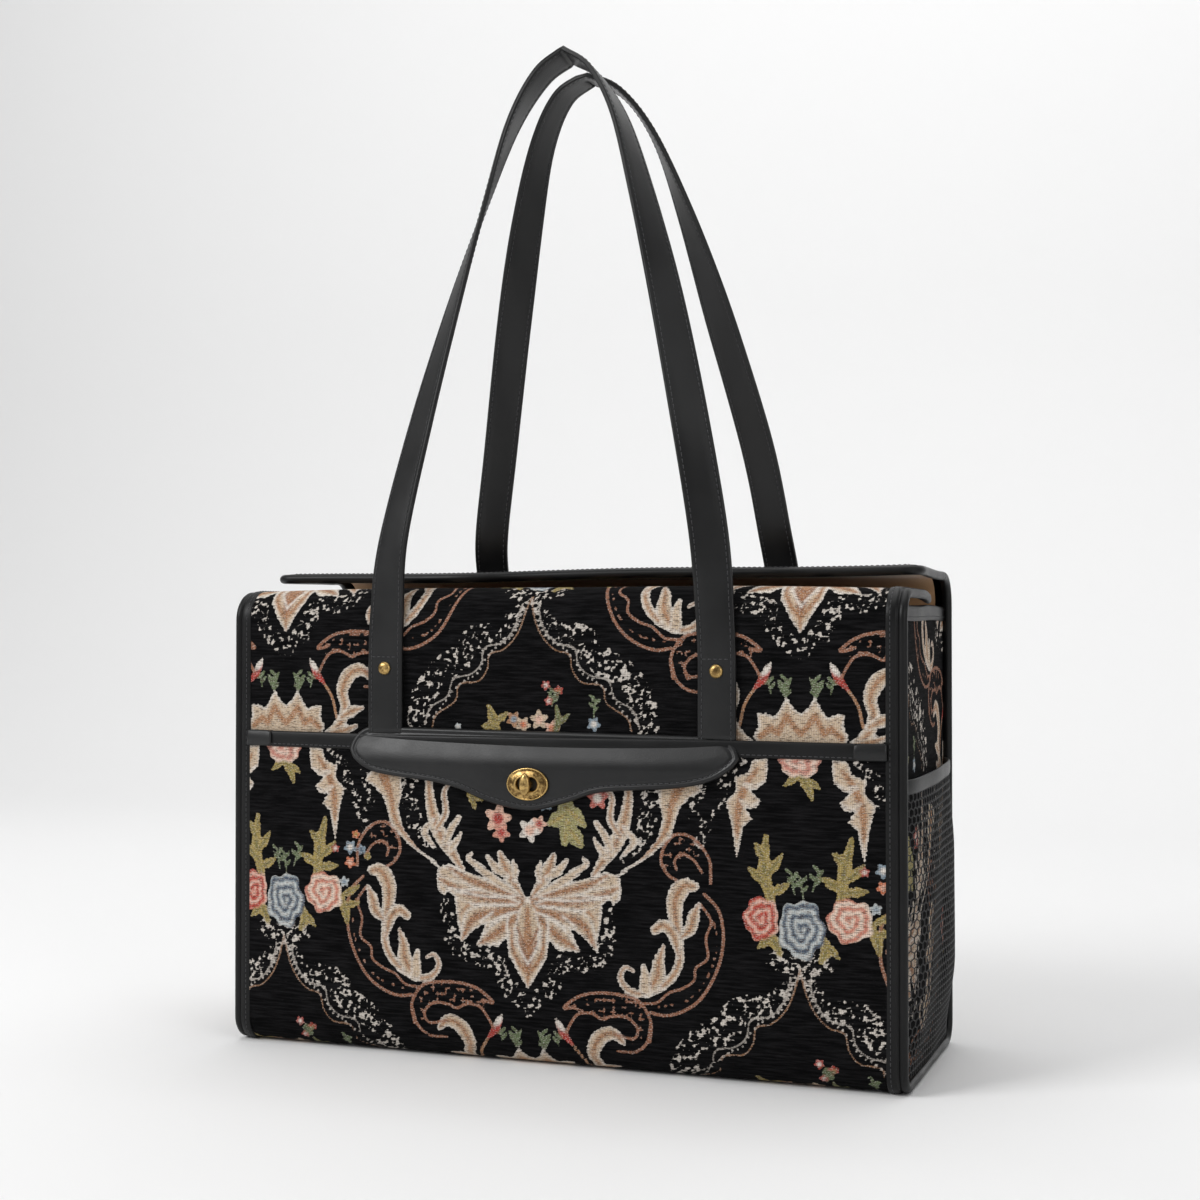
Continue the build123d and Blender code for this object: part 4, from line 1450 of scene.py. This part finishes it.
# Across, out from the panel, height above the joint, share of a quarter turn
STRAP_LINES = {
    "front": [(
        STRAP_X, 0, 0, 0
    ), (102.5, 0.4, 25, 0.02), (98.5, 1, 70, 0.22), (84, -7, 141, 0.35), (66.5, -17, 214, 0.54),
              (49, -25, 276, 0.76), (34, -30, 321, 0.93), (17, -33, 349, 1.05), (0, -35, 361, 1.1)],
    "back": [(
        STRAP_X, 0, 0, 0
    ), (101.5, 1.2, 42, 0.05), (98.5, -8, 75, 0.11), (88.5, -16, 133, 0.12), (69.5, -38, 214, 0.28),
             (53, -55, 276, 0.6), (37.5, -68, 321, 0.83), (20, -78, 347, 0.93), (0, -83, 357, 1)],
}
SEWN_LOW = END_LOW[2] - 6.0  # hidden behind the flap
PIVOT_Z = END_HIGH[2] + 0.3
STRAP_MIDDLE = HALF_DEPTH + STRAP_GAP + STRAP_THICK / 2
STITCH_INSET = 2.6  # from a strap's edge


def strap_frames(name):
    """Places, width and thickness directions along half a strap, from the sewn end to its top."""
    face = -1 if name == "front" else 1
    line = np.array(
        [(x, face * (STRAP_MIDDLE + out), PIVOT_Z + up) for x, out, up, _ in STRAP_LINES[name]], float
    )
    leg = [
        (STRAP_X, face * STRAP_MIDDLE, z)
        for z in np.linspace(SEWN_LOW if name == "front" else END_LOW[2], PIVOT_Z, 12)[:-1]
    ]
    curve = spline(line, 130)
    lengths = run_along(line)
    at = np.linspace(0, 1, 130)
    turn = np.interp(at, lengths / lengths[-1], [share for *_, share in STRAP_LINES[name]])
    turn = np.convolve(np.pad(turn, 6, mode="edge"), np.ones(13) / 13, "valid")
    path = np.concatenate([leg, curve])
    turn = np.concatenate([np.zeros(len(leg)), turn])
    shift = STRAP_SHIFT * smooth(330, 255, path[:, 2])
    path[:, 1] += face * shift
    tangent = headings(path)
    outward = np.array([0, face, 0.0])
    flatwise = outward - tangent * (tangent @ outward)[:, None]
    flatwise /= np.linalg.norm(flatwise, axis=1)[:, None]
    over = np.cross([0, 1.0, 0], tangent)
    over /= np.linalg.norm(over, axis=1)[:, None]
    angle = turn * pi / 2
    normal = np.cos(angle)[:, None] * flatwise + np.sin(angle)[:, None] * over
    normal -= tangent * np.sum(normal * tangent, axis=1)[:, None]
    normal /= np.linalg.norm(normal, axis=1)[:, None]
    return path, np.cross(tangent, normal), normal


def strap(name):
    path, width, normal = strap_frames(name)
    other = path[::-1][1:] * np.array([-1, 1, 1])
    other_width = width[::-1][1:] * np.array([-1, 1, 1])
    other_normal = normal[::-1][1:] * np.array([-1, 1, 1])
    flip = np.sign(np.sum(other_width[0] * width[-1]))
    path = np.concatenate([path, other])
    width = np.concatenate([width, other_width * flip])
    normal = np.concatenate([normal, other_normal])
    half, thick = STRAP_HALF, STRAP_THICK / 2
    section = [
        (-half, -0.25), (-half + 0.35, 0), (-half, 0.25), (-half + 0.1, 0.9), (-half + 0.6, thick - 0.12),
        (-half + 1.6, thick),
    ]
    section += [
        (-half + 2.6, thick - 0.16), (-half + 3.6, thick), (-4, thick + 0.08), (4, thick + 0.08),
        (half - 3.6, thick),
    ]
    section += [
        (half - 2.6, thick - 0.16), (half - 1.6, thick), (half - 0.6, thick - 0.12), (half - 0.1, 0.9),
        (half, 0.25), (half - 0.35, 0), (half, -0.25),
    ]
    section += [(-a, -b) for a, b in section[3:15]]
    verts, faces = sweep(path, width, normal, section)
    nodes = (f"{name}_handle_loop", f"{name}_left_strap_end", f"{name}_right_strap_end")
    ribbon = add_piece(f"{name}_strap", verts, faces, None, STRAP_LEATHER, nodes)
    parts = []
    for face in (1, -1):
        for edge in (-1, 1):
            parts.append(stitches(
                path + width * edge * (half - STITCH_INSET) + normal * face * (thick - 0.02), normal * face,
                3.6, 2.4, 0.22,
            ))
    verts, faces = joined(parts)
    thread = add_piece(f"{name}_strap_stitches", verts, faces, None, THREAD)
    face = -1 if name == "front" else 1
    for piece in (ribbon, thread):
        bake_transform(piece)
    cross = []
    for side in (-1, 1):
        run = [(side * STRAP_X + end * 8.6, face * (STRAP_FACE + 0.02), PIVOT_Z - 1.0) for end in (-1, 1)]
        cross.append(stitches(spline(run, 12), [(0, face, 0)] * 12, 3.2, 2.2, 0.22))
    verts, faces = joined(cross)
    add_piece(f"{name}_strap_cross_stitches", verts, faces, "bag", THREAD)


strap("front")
strap("back")


# ---------------------------------------------------------------- mesh pocket


def net_surface(y, z):
    """The outward bulge of the net on the right end."""
    reach = NET_HIGH[1]
    bulge = NET_HIGH[0] - GUSSET_X - 1.5
    arc = np.clip(1 - np.abs(y / reach) ** 5.0, 0, 1)
    return GUSSET_X + 1.6 + bulge * arc * (
        0.25 + 0.75 * smooth(0, 60, z)
    ) * (1 - 0.35 * smooth(120, 170, z)) + 0.9 * ripple(y * 3, z * 2, 51) * arc


NET_THREAD = 0.42  # radius


def net():
    """Knitted net of six-sided cells, each thread a thin prism."""
    wide, tall = 5.4, 4.2
    low, high = NET_LOW[2] + 0.5, NET_BAND_LOW[2] + 3.0
    reach = NET_HIGH[1] - 0.3
    nodes, edges, index = [], [], {}

    def node(y, z):
        key = (round(y * 20), round(z * 20))
        if key not in index:
            index[key] = len(nodes)
            nodes.append((y, z))
        return index[key]

    rows, columns = int((high - low) / (1.5 * tall * 0.667)), int(2 * reach / wide) + 1
    side = tall * 0.667
    for r in range(rows):
        for c in range(columns):
            y = -reach + (c + 0.5 * (r % 2)) * wide
            z = low + r * 1.5 * side
            top, right, below = node(
                y, z + side
            ), node(y + wide / 2, z + side / 2), node(y + wide / 2, z - side / 2)
            left = node(y - wide / 2, z + side / 2)
            edges += [(left, top), (top, right), (right, below)]
    places = np.array(nodes)
    y, z = np.clip(places[:, 0], -reach, reach), places[:, 1]
    slant = z + smooth(90, 166, z) * (y * 0.028)
    points = np.stack([net_surface(y, slant), y, slant], -1)
    parts = []
    for a, b in set(edges):
        if abs(places[a, 0]) > reach + 0.2 and abs(places[b, 0]) > reach + 0.2:
            continue
        pa, pb = points[a], points[b]
        along = pb - pa
        size = np.linalg.norm(along)
        if size < 0.3:
            continue
        side_way = np.cross(along / size, (1.0, 0, 0))
        side_way /= np.linalg.norm(side_way) + 1e-9
        ring = [
            (side_way * cos(k) + np.array((1.0, 0, 0)) * sin(k)) * NET_THREAD
            for k in (pi / 2, pi * 7 / 6, pi * 11 / 6)
        ]
        parts.append((
            np.array([pa + r for r in ring] + [pb + r for r in ring]),
            [(0, 1, 4, 3), (1, 2, 5, 4), (2, 0, 3, 5)],
        ))
    verts, faces = joined(parts)
    add_piece("side_net", verts, faces, "bag", NET, ("right_mesh_pocket",))
    y = steps(-reach, reach, 2.5)
    top = (NET_BAND_LOW[2] + NET_BAND_HIGH[2]) / 2 + y * 0.028
    x = net_surface(y, top)
    centres = np.stack([x, y, top], -1)
    tangent = headings(centres)
    out = np.cross(tangent, (0, 0, 1.0))
    section = [
        (-4.0, -0.6), (-4.1, 0.3), (-3.4, 0.8), (0, 0.95), (3.4, 0.8), (4.1, 0.3), (4.0, -0.6), (0, -0.8)
    ]
    verts, faces = sweep(centres, same((0, 0, 1.0), len(y)), out, section)
    add_piece("net_binding", verts, faces, "bag", SHADED_TRIM_LEATHER, ("right_mesh_band",))


net()

for child in [o for o in bpy.data.objects if o.type == "MESH" and o.name.startswith("lock_post")]:
    child.data.materials.clear()
    child.data.materials.append(BRASS)


# ---------------------------------------------------------------- floor, light and camera


def backdrop():
    floor = bpy.data.materials.new("floor")
    floor.use_nodes = True
    shader = floor.node_tree.nodes["Principled BSDF"]
    shader.inputs["Base Color"].default_value = (0.84, 0.84, 0.84, 1)
    shader.inputs["Roughness"].default_value = 0.9
    shader.inputs["Specular IOR Level"].default_value = 0.1
    mesh = bpy.data.meshes.new("floor")
    depth = [
        (-4, 0), (1.2, 0)
    ] + [(1.2 + 0.8 * sin(a), 0.8 - 0.8 * cos(a)) for a in np.linspace(0, pi / 2, 14)[1:]] + [(2.0, 4.0)]
    verts = [(x, y, z - 0.0002) for y, z in depth for x in (-5, 5)]
    mesh.from_pydata(verts, [], [(2 * k, 2 * k + 1, 2 * k + 3, 2 * k + 2) for k in range(len(depth) - 1)])
    mesh.polygons.foreach_set("use_smooth", [True] * len(mesh.polygons))
    ground = bpy.data.objects.new("floor", mesh)
    bpy.context.scene.collection.objects.link(ground)
    mesh.materials.append(floor)


def lamp(name, place, target, size, power):
    light = bpy.data.lights.new(name, "AREA")
    light.shape = "RECTANGLE"
    light.size, light.size_y = size
    light.energy = power
    obj = bpy.data.objects.new(name, light)
    bpy.context.scene.collection.objects.link(obj)
    obj.location = place
    aim = Vector(target) - Vector(place)
    obj.rotation_euler = aim.to_track_quat("-Z", "Y").to_euler()


def world():
    sky = bpy.data.worlds.new("studio")
    bpy.context.scene.world = sky
    sky.use_nodes = True
    sky.node_tree.nodes["Background"].inputs[0].default_value = (1, 1, 1, 1)
    sky.node_tree.nodes["Background"].inputs[1].default_value = 0.34


backdrop()
world()
lamp("key", (-1.7, -1.9, 1.9), (0, 0, 0.25), (1.3, 1.3), 50)
lamp("fill", (2.4, -1.5, 1.1), (0, 0, 0.2), (1.2, 1.2), 12)
lamp("top", (0.1, 0.1, 2.6), (0, 0, 0.1), (2.4, 2.4), 27)
lamp("wall", (0.0, 0.9, 2.4), (0, 2.0, 0.9), (4.0, 0.8), 12)

camera = bpy.data.objects.new("camera", bpy.data.cameras.new("camera"))
bpy.context.scene.collection.objects.link(camera)
camera.location = (0.401, -1.080, 0.259)
camera.rotation_euler = (radians(90.69), 0, radians(20.15))
camera.data.lens = 55.65
camera.data.sensor_width = 36.0
bpy.context.scene.camera = camera
bpy.context.scene.view_settings.view_transform = "Standard"
